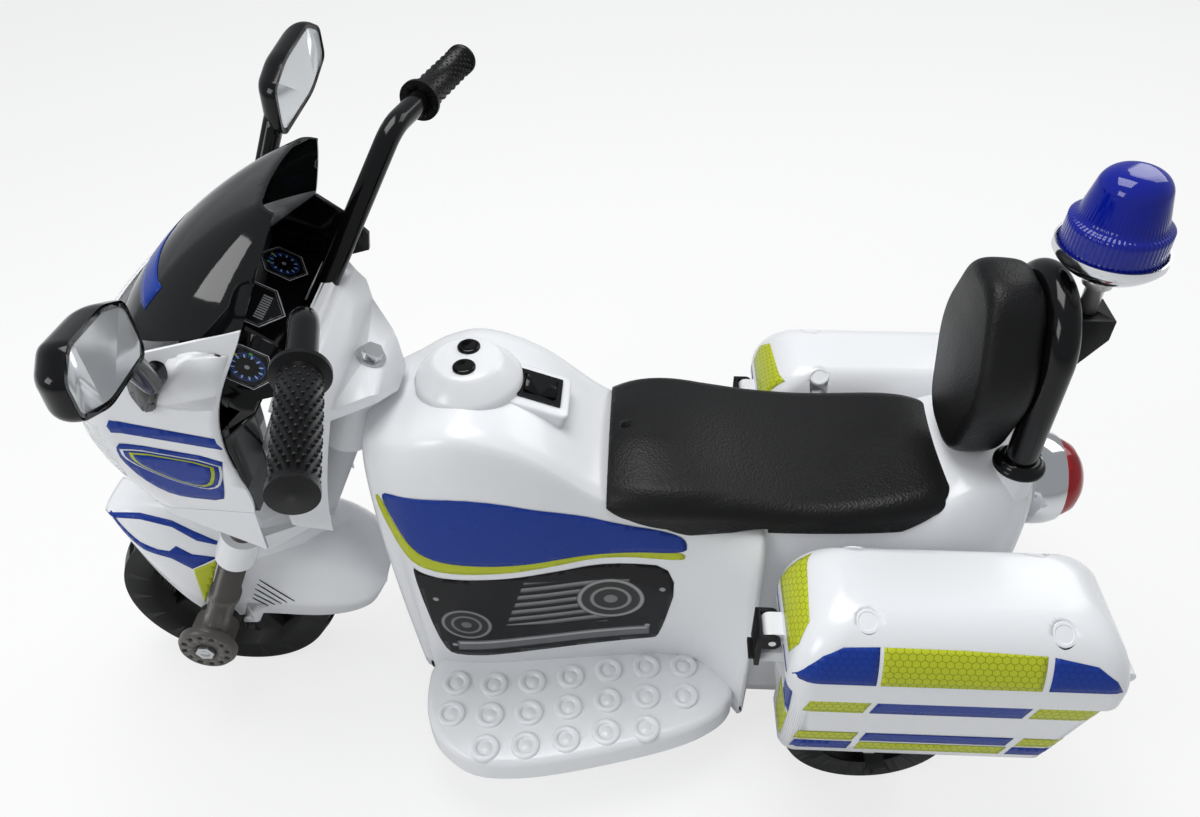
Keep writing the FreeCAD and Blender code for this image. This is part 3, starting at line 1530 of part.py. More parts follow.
def shell_holes():
    """Bores for the axle, the steering bolt, the buttons, the switch, the hoop, the drive and the pin."""
    long_axis = size.rear_boss_end * 2 + size.overrun * 2
    holes = [
        Part.makeCylinder(size.axle_radius + size.running_fit, long_axis,
                          Vector(rear_axle[0], -long_axis / 2, rear_axle[2]), Vector(0, 1, 0)),
        Part.makeCylinder(size.shaft_radius + size.running_fit, size.yoke_drop,
                          Vector(*steered(0.0, 0.0, -size.yoke_drop)), Vector(-sin_rake, 0, cos_rake)),
        Part.makeCylinder(size.coupler_radius + size.clearance * 3, size.coupler_length + size.overrun * 2,
                          Vector(rear_axle[0], -size.rear_boss_end - size.overrun, rear_axle[2]),
                          Vector(0, 1, 0)),
        Part.makeCylinder(size.pedal_pin_radius + size.running_fit, size.pedal_width * 2,
                          Vector(pedal_pivot[0], pedal_pivot[1] - size.pedal_width, pedal_pivot[2]),
                          Vector(0, 1, 0))]
    deep = size.dome_height + size.wall * 4
    for side in (1, -1):
        top = Vector(behind(size.dome_behind), side * size.button_spacing / 2, size.dome_level)
        holes.append(Part.makeCylinder(
            size.button_radius + size.clearance, size.button_height, top, Vector(0, 0, -1)))
        holes.append(Part.makeCylinder(size.button_stem_radius + size.clearance, deep, top, Vector(0, 0, -1)))
        holes.append(Part.makeCylinder(
            size.hoop_radius + size.running_fit, size.body_crown,
            Vector(hoop_x, side * size.hoop_half, size.hoop_foot)))
    holes.append(turned_box(size.rocker_length + size.clearance * 4, size.rocker_width + size.clearance * 4,
                            size.plinth_depth * 3, plinth_at, plinth_turn))
    screw_at = Vector(behind(size.seat_screw_behind), 0, size.sill_height)
    holes.append(Part.makeCylinder(size.screw_radius + size.running_fit, size.body_crown, screw_at))
    for x, level in mount_places:
        holes.append(Part.makeCylinder(
            size.screw_radius + size.running_fit, size.box_inner * 2,
            Vector(x, -size.box_inner, level), Vector(0, 1, 0)))
    tail = Vector(behind(size.body_tail) + size.tail_depth, 0, size.tail_level)
    holes.append(Part.makeCylinder(size.tail_radius * 0.3, size.tail_depth * 3, tail, Vector(-1, 0, 0)))
    return holes[0].fuse(holes[1:])


solid("body_shell", body_shell())

# Under tray: a floor that fits inside the sills, with ribs round the battery.


def tray_block(start, length, half, low, height):
    return Part.makeBox(length, half * 2, height, Vector(behind(start + length), -half, low))


def under_tray():
    room = body_solid(size.wall + size.clearance)
    floor = room.common(tray_block(-size.body_front, size.body_tail + size.body_front, size.body_half * 2,
                                   size.sill_height, size.tray_thickness))
    gap = size.clearance
    front = size.battery_behind - size.battery_length / 2
    half = size.battery_width / 2
    fence = tray_block(front - gap - size.wall, size.battery_length + (gap + size.wall) * 2,
                       half + gap + size.wall, size.sill_height, size.tray_thickness + size.rib_height)
    pit = tray_block(front - gap, size.battery_length + gap * 2, half + gap,
                     size.sill_height + size.tray_thickness, size.rib_height * 2)
    return floor.fuse(fence).cut(pit).removeSplitter()


solid("under_tray", under_tray())
tray_top = size.sill_height + size.tray_thickness

# Battery, control box, motor and gearbox: the drive inside the body.
battery_x = behind(size.battery_behind + size.battery_length / 2)
post = size.battery_width / 6
keep("battery", fuse(
    box(size.battery_length, size.battery_width, size.battery_height,
        (battery_x, -size.battery_width / 2, tray_top)),
    box(post, post, size.wall * 2, (battery_x + post, -post * 2, tray_top + size.battery_height)),
    box(post, post, size.wall * 2, (battery_x + post, post, tray_top + size.battery_height))))
control_x = behind(size.control_behind + size.control_length / 2)
keep("control_box", fuse(
    box(size.control_length, size.control_width, size.control_height,
        (control_x, -size.control_width / 2, tray_top)),
    box(size.wall * 2, size.control_width / 2, size.control_height / 2,
        (control_x - size.wall * 2, -size.control_width / 4, tray_top + size.control_height / 4))))

gearbox_outer = size.gearbox_gap * 2.5 + size.gearbox_width
gearbox_back = rear_axle[0] - size.gearbox_length * 0.28
motor_x = rear_axle[0] + size.gearbox_length * 0.5
motor_z = tray_top + size.gearbox_height * 0.62


def gearbox():
    length = size.gearbox_length
    tall = size.gearbox_height
    case = padded("XZ_Plane", [
        (0.0, 0.0),
        (length, 0.0),
        (length, tall * 0.75),
        Via((length * 0.92, tall * 0.94)),
        (length * 0.72, tall),
        (length * 0.35, tall * 0.8),
        (0.0, tall * 0.55),
    ], size.gearbox_width, True)
    place(case, (gearbox_back, -gearbox_outer + size.gearbox_width / 2, tray_top))
    bore = cylinder(size.axle_radius + size.running_fit, size.gearbox_width + size.overrun * 2,
                    (rear_axle[0], -gearbox_outer - size.overrun, rear_axle[2]), along_y)
    nose = cylinder(size.motor_shaft_radius + size.running_fit, size.gearbox_width,
                    (motor_x, -gearbox_outer + size.gearbox_width / 2, motor_z), along_y)
    return cut(case, bore, nose)


keep("gearbox_housing", gearbox())
motor_start = -gearbox_outer + size.gearbox_width
keep("drive_motor", fuse(
    cylinder(size.motor_radius, size.motor_length, (motor_x, motor_start, motor_z), along_y),
    cylinder(size.motor_radius / 3, size.wall, (motor_x, motor_start + size.motor_length, motor_z), along_y),
    cylinder(size.motor_shaft_radius, size.gearbox_width / 3,
             (motor_x, motor_start - size.gearbox_width / 3, motor_z), along_y)))

# Rear axle, wheels, coupler and nuts. The right wheel is driven through the toothed coupler.
rear_centre = size.rear_wheel_outer - size.rear_wheel_width / 2
rear_hub = (rear_centre - size.rear_boss_end - size.clearance) * 2
rear_hub_end = rear_centre + rear_hub / 2
for name, side in (("left", 1), ("right", -1)):
    item = wheel(size.rear_wheel_radius, size.rear_wheel_width, rear_hub)
    keep(f"rear_wheel_{name}", place(item, (rear_axle[0], side * rear_centre, rear_axle[2]), along_y))
rear_axle_end = rear_hub_end + size.clearance + size.nut_height
keep("rear_axle", cylinder(
    size.axle_radius, rear_axle_end * 2, (rear_axle[0], -rear_axle_end, rear_axle[2]), along_y))
keep("rear_axle_nuts", group(
    hex_nut((rear_axle[0], rear_hub_end + size.clearance, rear_axle[2]), along_y),
    hex_nut((rear_axle[0], -rear_hub_end - size.clearance, rear_axle[2]), Rotation(Vector(1, 0, 0), 90))))
coupler_start = size.rear_boss_end + size.clearance
coupler_reach = coupler_start - gearbox_outer - size.clearance
COUPLER_TEETH = 6


def coupler():
    body = revolved([
        (size.axle_radius + size.running_fit, 0.0),
        (size.coupler_radius, 0.0),
        (size.coupler_radius, coupler_reach),
        (size.axle_radius + size.running_fit, coupler_reach),
    ])
    doc.recompute()
    depth = size.coupler_radius / 5
    slot = pocket(body, "XY_Plane", rectangle(
        size.coupler_radius - depth, -depth, size.coupler_radius + depth, depth), coupler_reach)
    around(body, slot, COUPLER_TEETH)
    return place(body, (rear_axle[0], -coupler_start, rear_axle[2]), along_y)


keep("drive_coupler", coupler())

# Accelerator pedal: a ribbed plate on the right footboard, hinged at its heel end on a pin.
PEDAL_RIBS = 4


knuckle_share = 0.6
rib_share = 0.8


def pedal():
    length = size.pedal_length
    half = size.pedal_thickness / 2
    plate = padded("XZ_Plane", [
        (0.0, -half),
        (length, size.pedal_lift - half),
        (length, size.pedal_lift + half),
        (0.0, half),
    ], size.pedal_width, True)
    knuckle = cylinder(size.pedal_pivot_rise * knuckle_share, size.pedal_width,
                       (0.0, -size.pedal_width / 2, 0.0), along_y)
    ribs = []
    for number in range(PEDAL_RIBS):
        share = (number + 1.5) / (PEDAL_RIBS + 1)
        rib_width = size.pedal_width * rib_share
        ribs.append(box(half, rib_width, size.pedal_thickness,
                        (length * share, -rib_width / 2, size.pedal_lift * share - half / 2)))
    bore = cylinder(size.pedal_pin_radius + size.running_fit, size.pedal_width + size.overrun * 2,
                    (0.0, -size.pedal_width / 2 - size.overrun, 0.0), along_y)
    return cut(fuse(plate, knuckle, *ribs), bore)


keep("accelerator_pedal", place(pedal(), pedal_pivot))
pin_half = size.pedal_width / 2 + size.clearance + size.pedal_ear
keep("pedal_pin", cylinder(
    size.pedal_pin_radius, pin_half * 2,
    (pedal_pivot[0], pedal_pivot[1] - pin_half, pedal_pivot[2]), along_y))

# Seat: a hollow saddle with a dip and a low bolster, laid over the body and held by one screw.
seat_station_shares = (0.0, 0.1, 0.46, 0.78, 0.93, 1.0)
seat_half_shares = (0.70, 0.80, 1.0, 0.96, 0.86, 0.74)
seat_crown_shares = (0.985, 1.005, 0.944, 0.955, 0.972, 0.955)
seat_shoulder_share = 0.78
seat_side_share = 0.955


def seat_section(number, inset):
    last = len(seat_station_shares) - 1
    ends = inset * ((number == 0) - (number == last))
    x = behind(size.seat_front + size.seat_length * seat_station_shares[number]) - ends
    half = size.seat_half * seat_half_shares[number] - inset
    top = size.seat_crown * seat_crown_shares[number] - inset
    low = size.seat_skirt - (size.overrun if inset else 0)
    edge = half * seat_shoulder_share
    edge_z = top - (top - low) * (1 - seat_side_share)
    side_z = low + (top - low) * (1 - seat_shoulder_share) * 2
    corner_y = edge + (half - edge) * quarter
    corner_z = side_z + (edge_z - side_z) * quarter

    def spot(y, z):
        return Vector(x, y, z)

    return Part.Wire([
        line(spot(-half, low), spot(half, low)),
        line(spot(half, low), spot(half, side_z)),
        arc(spot(half, side_z), spot(corner_y, corner_z), spot(edge, edge_z)),
        arc(spot(edge, edge_z), spot(0, top), spot(-edge, edge_z)),
        arc(spot(-edge, edge_z), spot(-corner_y, corner_z), spot(-half, side_z)),
        line(spot(-half, side_z), spot(-half, low))])


def seat_solid(inset):
    return loft([seat_section(number, inset) for number in range(len(seat_station_shares))])


seat_screw_x = behind(size.seat_screw_behind)
seat_screw_seat = size.seat_crown * seat_crown_shares[0] - size.wall * 2


def seat():
    outer = seat_solid(0)
    column = Part.makeCylinder(size.screw_head_radius * 2, size.seat_crown, Vector(seat_screw_x, 0, 0))
    shell = outer.cut(seat_solid(size.wall)).fuse(outer.common(column))
    shell = shell.cut(body_solid(-size.clearance))
    bore = Part.makeCylinder(
        size.screw_radius + size.running_fit, size.seat_crown, Vector(seat_screw_x, 0, 0))
    recess = Part.makeCylinder(
        size.screw_head_radius + size.clearance, size.seat_crown, Vector(seat_screw_x, 0, seat_screw_seat))
    return shell.cut(bore).cut(recess)


solid("seat", seat())
screw_length = size.seat_crown * (1 - front_crown_shares[5]) + size.wall * 4
seat_screw = cut(
    fuse(cylinder(size.screw_head_radius, size.screw_head_height, (seat_screw_x, 0.0, seat_screw_seat)),
         cylinder(size.screw_radius, screw_length, (seat_screw_x, 0.0, seat_screw_seat - screw_length))),
    box(size.screw_head_radius, size.screw_head_height / 3, size.screw_head_height,
        (seat_screw_x - size.screw_head_radius / 2, -size.screw_head_height / 6,
         seat_screw_seat + size.screw_head_height / 2)))

# Push buttons on the dome, and the rocker switch in its bezel on the plinth behind.
button_rest = size.dome_level - size.button_height + size.button_travel + size.clearance


def button(side):
    radius = size.button_radius
    tall = size.button_height
    body = revolved([
        (0.0, -size.button_stem),
        (size.button_stem_radius, -size.button_stem),
        (size.button_stem_radius, 0.0),
        (radius, 0.0),
        (radius, tall * 0.8),
        Via((radius * 0.9, tall * 1.03)),
        (radius * 0.7, tall * 1.1),
        (0.0, tall * 1.15),
    ])
    return place(body, (behind(size.dome_behind), side * size.button_spacing / 2, button_rest))


keep("button_left", button(1))
keep("button_right", button(-1))


def bezel():
    inner_length = size.rocker_length + size.clearance * 4
    inner_width = size.rocker_width + size.clearance * 4
    frame = padded("XY_Plane", [
        (-size.bezel_length / 2, -size.bezel_width / 2),
        (size.bezel_length / 2, -size.bezel_width / 2),
        (size.bezel_length / 2, size.bezel_width / 2),
        (-size.bezel_length / 2, size.bezel_width / 2),
    ], size.bezel_height)
    doc.recompute()
    pocket(frame, "XY_Plane", rectangle(
        -inner_length / 2, -inner_width / 2, inner_length / 2, inner_width / 2), size.bezel_height * 4)
    return place(frame, (plinth_x, 0.0, plinth_z), plinth_turn)


def rocker():
    radius = size.rocker_length / 2
    high = math.radians(20)
    low = math.radians(-24)
    body = padded("XZ_Plane", [
        (0.0, radius * 0.22),
        (-radius * math.cos(high), radius * math.sin(high)),
        Via((-radius, 0.0)),
        (-radius * math.cos(low), radius * math.sin(low)),
        (0.0, -radius * 0.62),
        (radius * math.cos(low), radius * math.sin(low)),
        Via((radius, 0.0)),
        (radius * math.cos(high), radius * math.sin(high)),
    ], size.rocker_width, True)
    return place(body, (plinth_x, 0.0, plinth_z), plinth_turn)


plinth_x = behind(size.plinth_behind)
plinth_z = size.plinth_level + size.clearance / 10
keep("switch_bezel", bezel())
keep("rocker_switch", rocker())

# Backrest: an egg-shaped pad of two moulded halves in front of a tube hoop that stands in collars.
pad_outline_shares = ((-0.46, 1.0), (0.46, 1.0), (1.0, 0.55), (0.52, 0.0), (-0.52, 0.0), (-1.0, 0.55))
pad_soften_share = 0.36
pad_depth_shares = ((0.0, 0.86), (0.16, 0.985), (0.5, 1.0), (0.84, 0.97), (1.0, 0.88))
pad_back = hoop_x + size.hoop_radius + size.clearance


def pad_wire(depth_share, scale_share):
    x = pad_back + size.pad_thickness * (1 - depth_share)
    half = size.pad_half * scale_share
    tall = size.pad_height * scale_share
    low = size.pad_bottom + (size.pad_height - tall) / 2
    corners = [Vector(x, u * half, low + v * tall) for u, v in pad_outline_shares]
    return soft_polygon(corners, pad_soften_share)


def backrest_pad():
    shape = loft([pad_wire(depth, scale) for depth, scale in pad_depth_shares])
    return shape.cut(body_solid(-size.clearance))


solid("backrest_pad", backrest_pad())


def hoop_path():
    spring = size.hoop_crown - size.hoop_half
    half = size.hoop_half
    return Part.Wire([
        line(Vector(hoop_x, half, size.hoop_foot), Vector(hoop_x, half, spring)),
        arc(Vector(hoop_x, half, spring), Vector(hoop_x, 0, size.hoop_crown), Vector(hoop_x, -half, spring)),
        line(Vector(hoop_x, -half, spring), Vector(hoop_x, -half, size.hoop_foot))])


solid("backrest_hoop", swept(hoop_path(), size.hoop_radius).cut(swept(hoop_path(), size.hoop_bore)))


def collar(side):
    bore = size.hoop_radius + size.running_fit
    body = revolved([
        (bore, 0.0),
        (size.collar_radius + size.wall, 0.0),
        (size.collar_radius + size.wall, size.collar_height * 0.35),
        (size.collar_radius, size.collar_height * 0.6),
        (bore + size.wall, size.collar_height),
        (bore, size.collar_height),
    ])
    return place(body, (hoop_x, side * size.hoop_half, size.collar_base))


keep("hoop_collars", group(collar(1), collar(-1)))

# Beacon: a bracket clamped between the hoop's legs, a pole, a dish, a two-tier lens and a lamp.
pole_x = behind(size.pole_behind)
bracket_top = size.bracket_level + size.bracket_height


def beacon_bracket():
    front = hoop_x + size.hoop_radius * 0.6
    back = hoop_x - size.hoop_radius * 0.6
    plate = Part.makeBox(front - back, size.hoop_half * 2, size.bracket_height,
                         Vector(back, -size.hoop_half, size.bracket_level))
    wedge = polygon_prism([
        (back, size.bracket_level),
        (back - size.bracket_depth * 0.3, size.bracket_level),
        (back - size.bracket_depth, bracket_top - size.bracket_height * 0.3),
        (back - size.bracket_depth, bracket_top),
        (back, bracket_top)], size.bracket_half * 2, -size.bracket_half)
    socket = Part.makeCylinder(size.pole_radius + size.running_fit, size.pole_socket + size.overrun,
                               Vector(pole_x, 0, bracket_top - size.pole_socket))
    hoop_room = swept(hoop_path(), size.hoop_radius + size.running_fit)
    return plate.fuse(wedge).removeSplitter().cut(hoop_room).cut(socket)


solid("beacon_bracket", beacon_bracket())
pole_base = bracket_top - size.pole_socket
pole_top = pole_base + size.pole_length
keep("beacon_pole", fuse(
    cylinder(size.pole_radius, size.pole_length, (pole_x, 0.0, pole_base)),
    cylinder(size.pole_collar_radius, size.pole_collar_height,
             (pole_x, 0.0, pole_top - size.pole_socket / 2 - size.pole_collar_height))))
dish_base = pole_top - size.pole_socket / 2
lens_base = dish_base + size.dish_height * 0.8


def dish():
    rim = size.dish_radius
    tall = size.dish_height
    skin = size.dish_wall
    socket = size.pole_radius + size.running_fit
    floor = size.pole_socket / 2 + skin
    body = revolved([
        (socket, 0.0),
        (size.pole_collar_radius, 0.0),
        Via((rim * 0.74, tall * 0.27)),
        (rim, tall * 0.72),
        (rim, tall),
        (rim - skin, tall),
        (rim - skin, tall * 0.8),
        (rim - skin * 3, tall * 0.8),
        Via((rim * 0.62, tall * 0.48)),
        (socket + skin * 2, floor),
        (0.0, floor),
        (0.0, size.pole_socket / 2),
        (socket, size.pole_socket / 2),
    ])
    return place(body, (pole_x, 0.0, dish_base))


keep("beacon_dish", dish())


def lens():
    skin = size.lens_wall
    body = revolved([
        (size.lens_radius - skin, 0.0),
        (size.lens_radius, 0.0),
        (size.lens_radius * 0.97, size.lens_tier),
        (size.lens_ledge_radius, size.lens_tier + skin),
        (size.lens_top_radius, size.lens_height - skin * 6),
        Via((size.lens_top_radius * 0.82, size.lens_height - skin * 2.2)),
        (size.lens_top_radius * 0.4, size.lens_height),
        (0.0, size.lens_height),
        (0.0, size.lens_height - skin),
        (size.lens_top_radius * 0.4 - skin, size.lens_height - skin),
        (size.lens_top_radius - skin * 2, size.lens_height - skin * 6),
        (size.lens_ledge_radius - skin, size.lens_tier),
        (size.lens_radius * 0.97 - skin * 1.6, size.lens_tier - skin),
    ])
    return place(body, (pole_x, 0.0, lens_base))


keep("beacon_lens", lens())
lamp_base = dish_base + size.pole_socket / 2 + size.dish_wall
keep("beacon_lamp", fuse(
    cylinder(size.lamp_radius, size.lamp_length * 0.6, (pole_x, 0.0, lamp_base)),
    cone(size.lamp_radius * 0.8, size.lamp_radius * 0.4, size.lamp_length * 0.4,
         (pole_x, 0.0, lamp_base + size.lamp_length * 0.6))))

# Tail light: a plated bowl on the tail with a domed red lens.
tail_x = behind(size.body_tail)
rearward = Rotation(Vector(0, 1, 0), -90)


def tail_housing():
    skin = size.wall
    body = revolved([
        (0.0, size.clearance),
        (size.tail_radius, size.clearance),
        (size.tail_radius, size.tail_depth * 0.4),
        Via((size.tail_radius * 0.985, size.tail_depth * 0.75)),
        (size.tail_lens_radius + skin, size.tail_depth),
        (size.tail_lens_radius + size.clearance, size.tail_depth),
        (size.tail_lens_radius + size.clearance, size.tail_depth * 0.5),
        (0.0, size.tail_depth * 0.5),
    ])
    return place(body, (tail_x, 0.0, size.tail_level), rearward)


def tail_lens():
    start = size.tail_depth * 0.5 + size.clearance
    reach = start + size.tail_lens_depth
    radius = size.tail_lens_radius
    skin = size.lens_wall
    body = revolved([
        (radius - skin, start),
        (radius, start),
        (radius, start + skin * 3),
        Via((radius * 0.66, reach - skin * 1.6)),
        (radius * 0.2, reach),
        (0.0, reach),
        (0.0, reach - skin),
        (radius * 0.2, reach - skin),
        (radius * 0.66 - skin, reach - skin * 2.8),
        (radius - skin, start + skin * 2),
    ])
    return place(body, (tail_x, 0.0, size.tail_level), rearward)


keep("tail_light_housing", tail_housing())
keep("tail_light_lens", tail_lens())

# Panniers: a tub screwed to the body beside each rear wheel, stepped to clear the wheel, and a
# pillowed lid that hinges on a pin at the rear and carries a clip latch at the front.
box_front_x = behind(size.box_front)
box_rear_x = behind(size.box_front + size.box_length)


def plan_wire(front, rear, inner, outer, corner, level):
    """Rounded rectangle in plan: front and rear along X, inner and outer along Y."""
    soft = corner * (1 - quarter)
    points = [
        (rear + corner, inner), (front - corner, inner),
        (front - soft, inner + soft), (front, inner + corner),
        (front, outer - corner), (front - soft, outer - soft), (front - corner, outer),
        (rear + corner, outer), (rear + soft, outer - soft), (rear, outer - corner),
        (rear, inner + corner), (rear + soft, inner + soft)]
    spots = [Vector(x, y, level) for x, y in points]
    return Part.Wire([
        line(spots[0], spots[1]), arc(spots[1], spots[2], spots[3]),
        line(spots[3], spots[4]), arc(spots[4], spots[5], spots[6]),
        line(spots[6], spots[7]), arc(spots[7], spots[8], spots[9]),
        line(spots[9], spots[10]), arc(spots[10], spots[11], spots[0])])


def tub_solid(inset):
    lap = size.overrun if inset else 0
    floor = size.box_bottom + inset
    corner = size.box_corner - inset
    low = plan_wire(box_front_x - inset, box_rear_x + size.box_rake + inset, size.box_inner + inset,
                    size.box_outer - size.box_taper - inset, corner, floor)
    high = plan_wire(box_front_x - inset, box_rear_x + inset, size.box_inner + inset,
                     size.box_outer - inset, corner, size.box_top + lap)
    tub = loft([low, high], True)
    step = Part.makeBox(size.box_length * 2, size.box_step_inner + inset, size.box_step + inset,
                        Vector(box_rear_x - size.box_length / 2, 0, 0))
    return tub.cut(step)


hinge_x = box_rear_x - size.lid_rim - size.hinge_radius - size.clearance * 2
hinge_z = size.box_top + size.lid_rim_height * 0.4
hinge_y = (size.box_inner + size.box_outer) / 2
latch_x = box_front_x + size.lid_rim + size.latch_lug * 0.55
latch_z = size.box_top + size.lid_rim_height * 0.6
latch_outer = size.latch_lug_width + (size.clearance + size.latch_wall) * 2


def rod(radius, length, x, y, z):
    """A round bar along Y, centred on a place."""
    return Part.makeCylinder(radius, length, Vector(x, y - length / 2, z), Vector(0, 1, 0))


def tub():
    shell = tub_solid(0).cut(tub_solid(size.rim_wall))
    for side in (1, -1):
        y = hinge_y + side * (size.knuckle_length + size.clearance * 2)
        width = size.knuckle_length
        low = hinge_z - size.hinge_radius - size.wall * 2
        reach = box_rear_x - hinge_x + size.rim_wall
        arm = Part.makeBox(reach, width, size.box_top - size.clearance * 2 - low,
                           Vector(hinge_x, y - width / 2, low))
        arm = arm.cut(tub_solid(size.rim_wall))
        shell = shell.fuse([arm, rod(size.hinge_radius, width, hinge_x, y, hinge_z)])
    catch_low = size.box_top - size.latch_length * 0.55
    catch_depth = size.lid_rim + size.latch_lug - size.clearance * 2
    catch = Part.makeBox(catch_depth + size.rim_wall, size.latch_lug_width, size.latch_tab_height,
                         Vector(box_front_x - size.rim_wall, hinge_y - size.latch_lug_width / 2, catch_low))
    shell = shell.fuse(catch.cut(tub_solid(size.rim_wall)))
    shell = shell.cut(
        rod(size.hinge_pin_radius + size.running_fit, size.box_outer, hinge_x, hinge_y, hinge_z))
    for x, level in mount_places:
        shell = shell.cut(rod(size.screw_radius + size.running_fit, size.box_inner, x, size.box_inner, level))
    return shell.removeSplitter()


lid_level_shares = (0.0, 0.42, 0.78, 1.0)
lid_inset_shares = (0.0, 0.28, 1.0, 2.3)
lid_base = size.box_top + size.clearance
lid_shoulder = lid_base + size.lid_rim_height
lid_boss_places = ((0.2, 0.10), (0.78, 0.14), (0.2, 0.78), (0.78, 0.82))


def lid_solid(inset):
    front = box_front_x + size.lid_rim - inset
    rear = box_rear_x - size.lid_rim + inset
    inner = size.box_inner + inset
    outer = size.box_outer + size.lid_rim - inset
    corner = size.lid_corner - inset
    rise = size.lid_height - size.lid_rim_height
    low = lid_base - (size.overrun if inset else 0)
    rim = Part.Face(plan_wire(front, rear, inner, outer, corner, low)).extrude(
        Vector(0, 0, lid_shoulder - low))
    sections = []
    for share, narrow_share in zip(lid_level_shares, lid_inset_shares):
        narrow = size.lid_slope * narrow_share
        level = lid_shoulder + (rise - inset) * share
        sections.append(plan_wire(front - narrow, rear + narrow, inner + narrow * 0.6, outer - narrow,
                                  corner, level))
    shape = rim.fuse(loft(sections))
    for along, across in lid_boss_places:
        x = box_front_x - size.box_length * along
        y = size.box_inner + (size.box_outer - size.box_inner) * across
        level = lid_shoulder + rise * 0.5 - inset
        shape = shape.cut(Part.makeCylinder(size.boss_radius + inset, size.lid_height, Vector(x, y, level)))
    return shape.removeSplitter()


def lid():
    shell = lid_solid(0).cut(lid_solid(size.rim_wall))
    for along, across in lid_boss_places:
        x = box_front_x - size.box_length * along
        y = size.box_inner + (size.box_outer - size.box_inner) * across
        level = lid_shoulder + (size.lid_height - size.lid_rim_height) * 0.5 - size.clearance
        shell = shell.fuse(Part.makeCylinder(size.boss_radius * 0.6, size.wall * 2, Vector(x, y, level)))
    width = size.knuckle_length
    arm = Part.makeBox(box_rear_x - size.lid_rim - hinge_x + size.rim_wall, width, size.hinge_radius * 1.4,
                       Vector(hinge_x, hinge_y - width / 2, hinge_z - size.hinge_radius * 0.4))
    lug_start = box_front_x + size.lid_rim - size.rim_wall
    lug = Part.makeBox(latch_x - lug_start, size.latch_lug_width, size.latch_lug_height,
                       Vector(lug_start, hinge_y - size.latch_lug_width / 2,
                              latch_z - size.latch_lug_height / 2))
    lug = lug.fuse(rod(size.latch_lug_height / 2, size.latch_lug_width, latch_x, hinge_y, latch_z))
    studs_across = rod(size.latch_pin_radius, latch_outer, latch_x, hinge_y, latch_z)
    shell = shell.fuse([arm, rod(size.hinge_radius, width, hinge_x, hinge_y, hinge_z), lug, studs_across])
    bore = rod(size.hinge_pin_radius + size.running_fit, size.box_outer, hinge_x, hinge_y, hinge_z)
    return shell.cut(bore).removeSplitter()


hinge_pin_length = size.knuckle_length * 3 + size.clearance * 4


def latch():
    """A clip with two cheeks beside the lid's lug and a plate that hangs over the tub's catch."""
    lug_front = box_front_x + size.lid_rim + size.latch_lug
    plate_x = lug_front + size.clearance * 2
    low = size.box_top - size.latch_length * 0.55
    high = latch_z + size.latch_lug_height / 2
    plate = Part.makeBox(size.latch_wall, latch_outer, high - low,
                         Vector(plate_x, hinge_y - latch_outer / 2, low))
    tab = Part.makeBox(size.latch_wall * 2, latch_outer * 0.6, size.latch_wall,
                       Vector(plate_x, hinge_y - latch_outer * 0.3, low))
    shape = plate.fuse(tab)
    for side in (1, -1):
        y = hinge_y + side * (latch_outer - size.latch_wall) / 2
        cheek_radius = size.latch_lug_height / 2
        eye = rod(cheek_radius, size.latch_wall, latch_x, y, latch_z)
        web = Part.makeBox(plate_x - latch_x + size.latch_wall, size.latch_wall, cheek_radius * 2,
                           Vector(latch_x, y - size.latch_wall / 2, latch_z - cheek_radius))
        shape = shape.fuse([eye, web])
    return shape.cut(
        rod(size.latch_pin_radius + size.running_fit, size.box_outer, latch_x, hinge_y, latch_z)
    ).removeSplitter()


for label, shape in (("pannier_box", tub()), ("pannier_lid", lid()), ("pannier_latch", latch())):
    solid(f"{label}_left", shape)
    solid(f"{label}_right", mirrored(shape))
hinge_pin = rod(size.hinge_pin_radius, hinge_pin_length, hinge_x, hinge_y, hinge_z)
solid("pannier_hinge_pins", Part.makeCompound([hinge_pin, mirrored(hinge_pin)]))


def pannier_screw(x, level, side):
    head = size.box_inner + size.rim_wall
    turn = along_y if side > 0 else Rotation(Vector(1, 0, 0), 90)
    shaft = size.mount_boss_radius * 2
    return fuse(
        cylinder(size.screw_head_radius, size.screw_head_height, (x, side * head, level), turn),
        cylinder(size.screw_radius, shaft, (x, side * (head - shaft), level), turn))


keep("body_screws", group(seat_screw, *[
    pannier_screw(x, level, side) for side in (1, -1) for x, level in mount_places]))

# Every sub-part is checked, then written to its own file.
doc.recompute()
for item in sub_parts:
    faults = [state for state in item.State if state in ("Invalid", "Error")]
    if faults or item.Shape.isNull() or not item.Shape.isValid():
        raise RuntimeError(f"{item.Label} did not build: {faults}")
os.makedirs("parts", exist_ok=True)
for item in sub_parts:
    item.Shape.exportStep(f"parts/{item.Label}.step")
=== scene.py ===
import json
import math

import bmesh
import bpy
from mathutils import Matrix, Vector
from mathutils.bvhtree import BVHTree
from mathutils.geometry import delaunay_2d_cdt

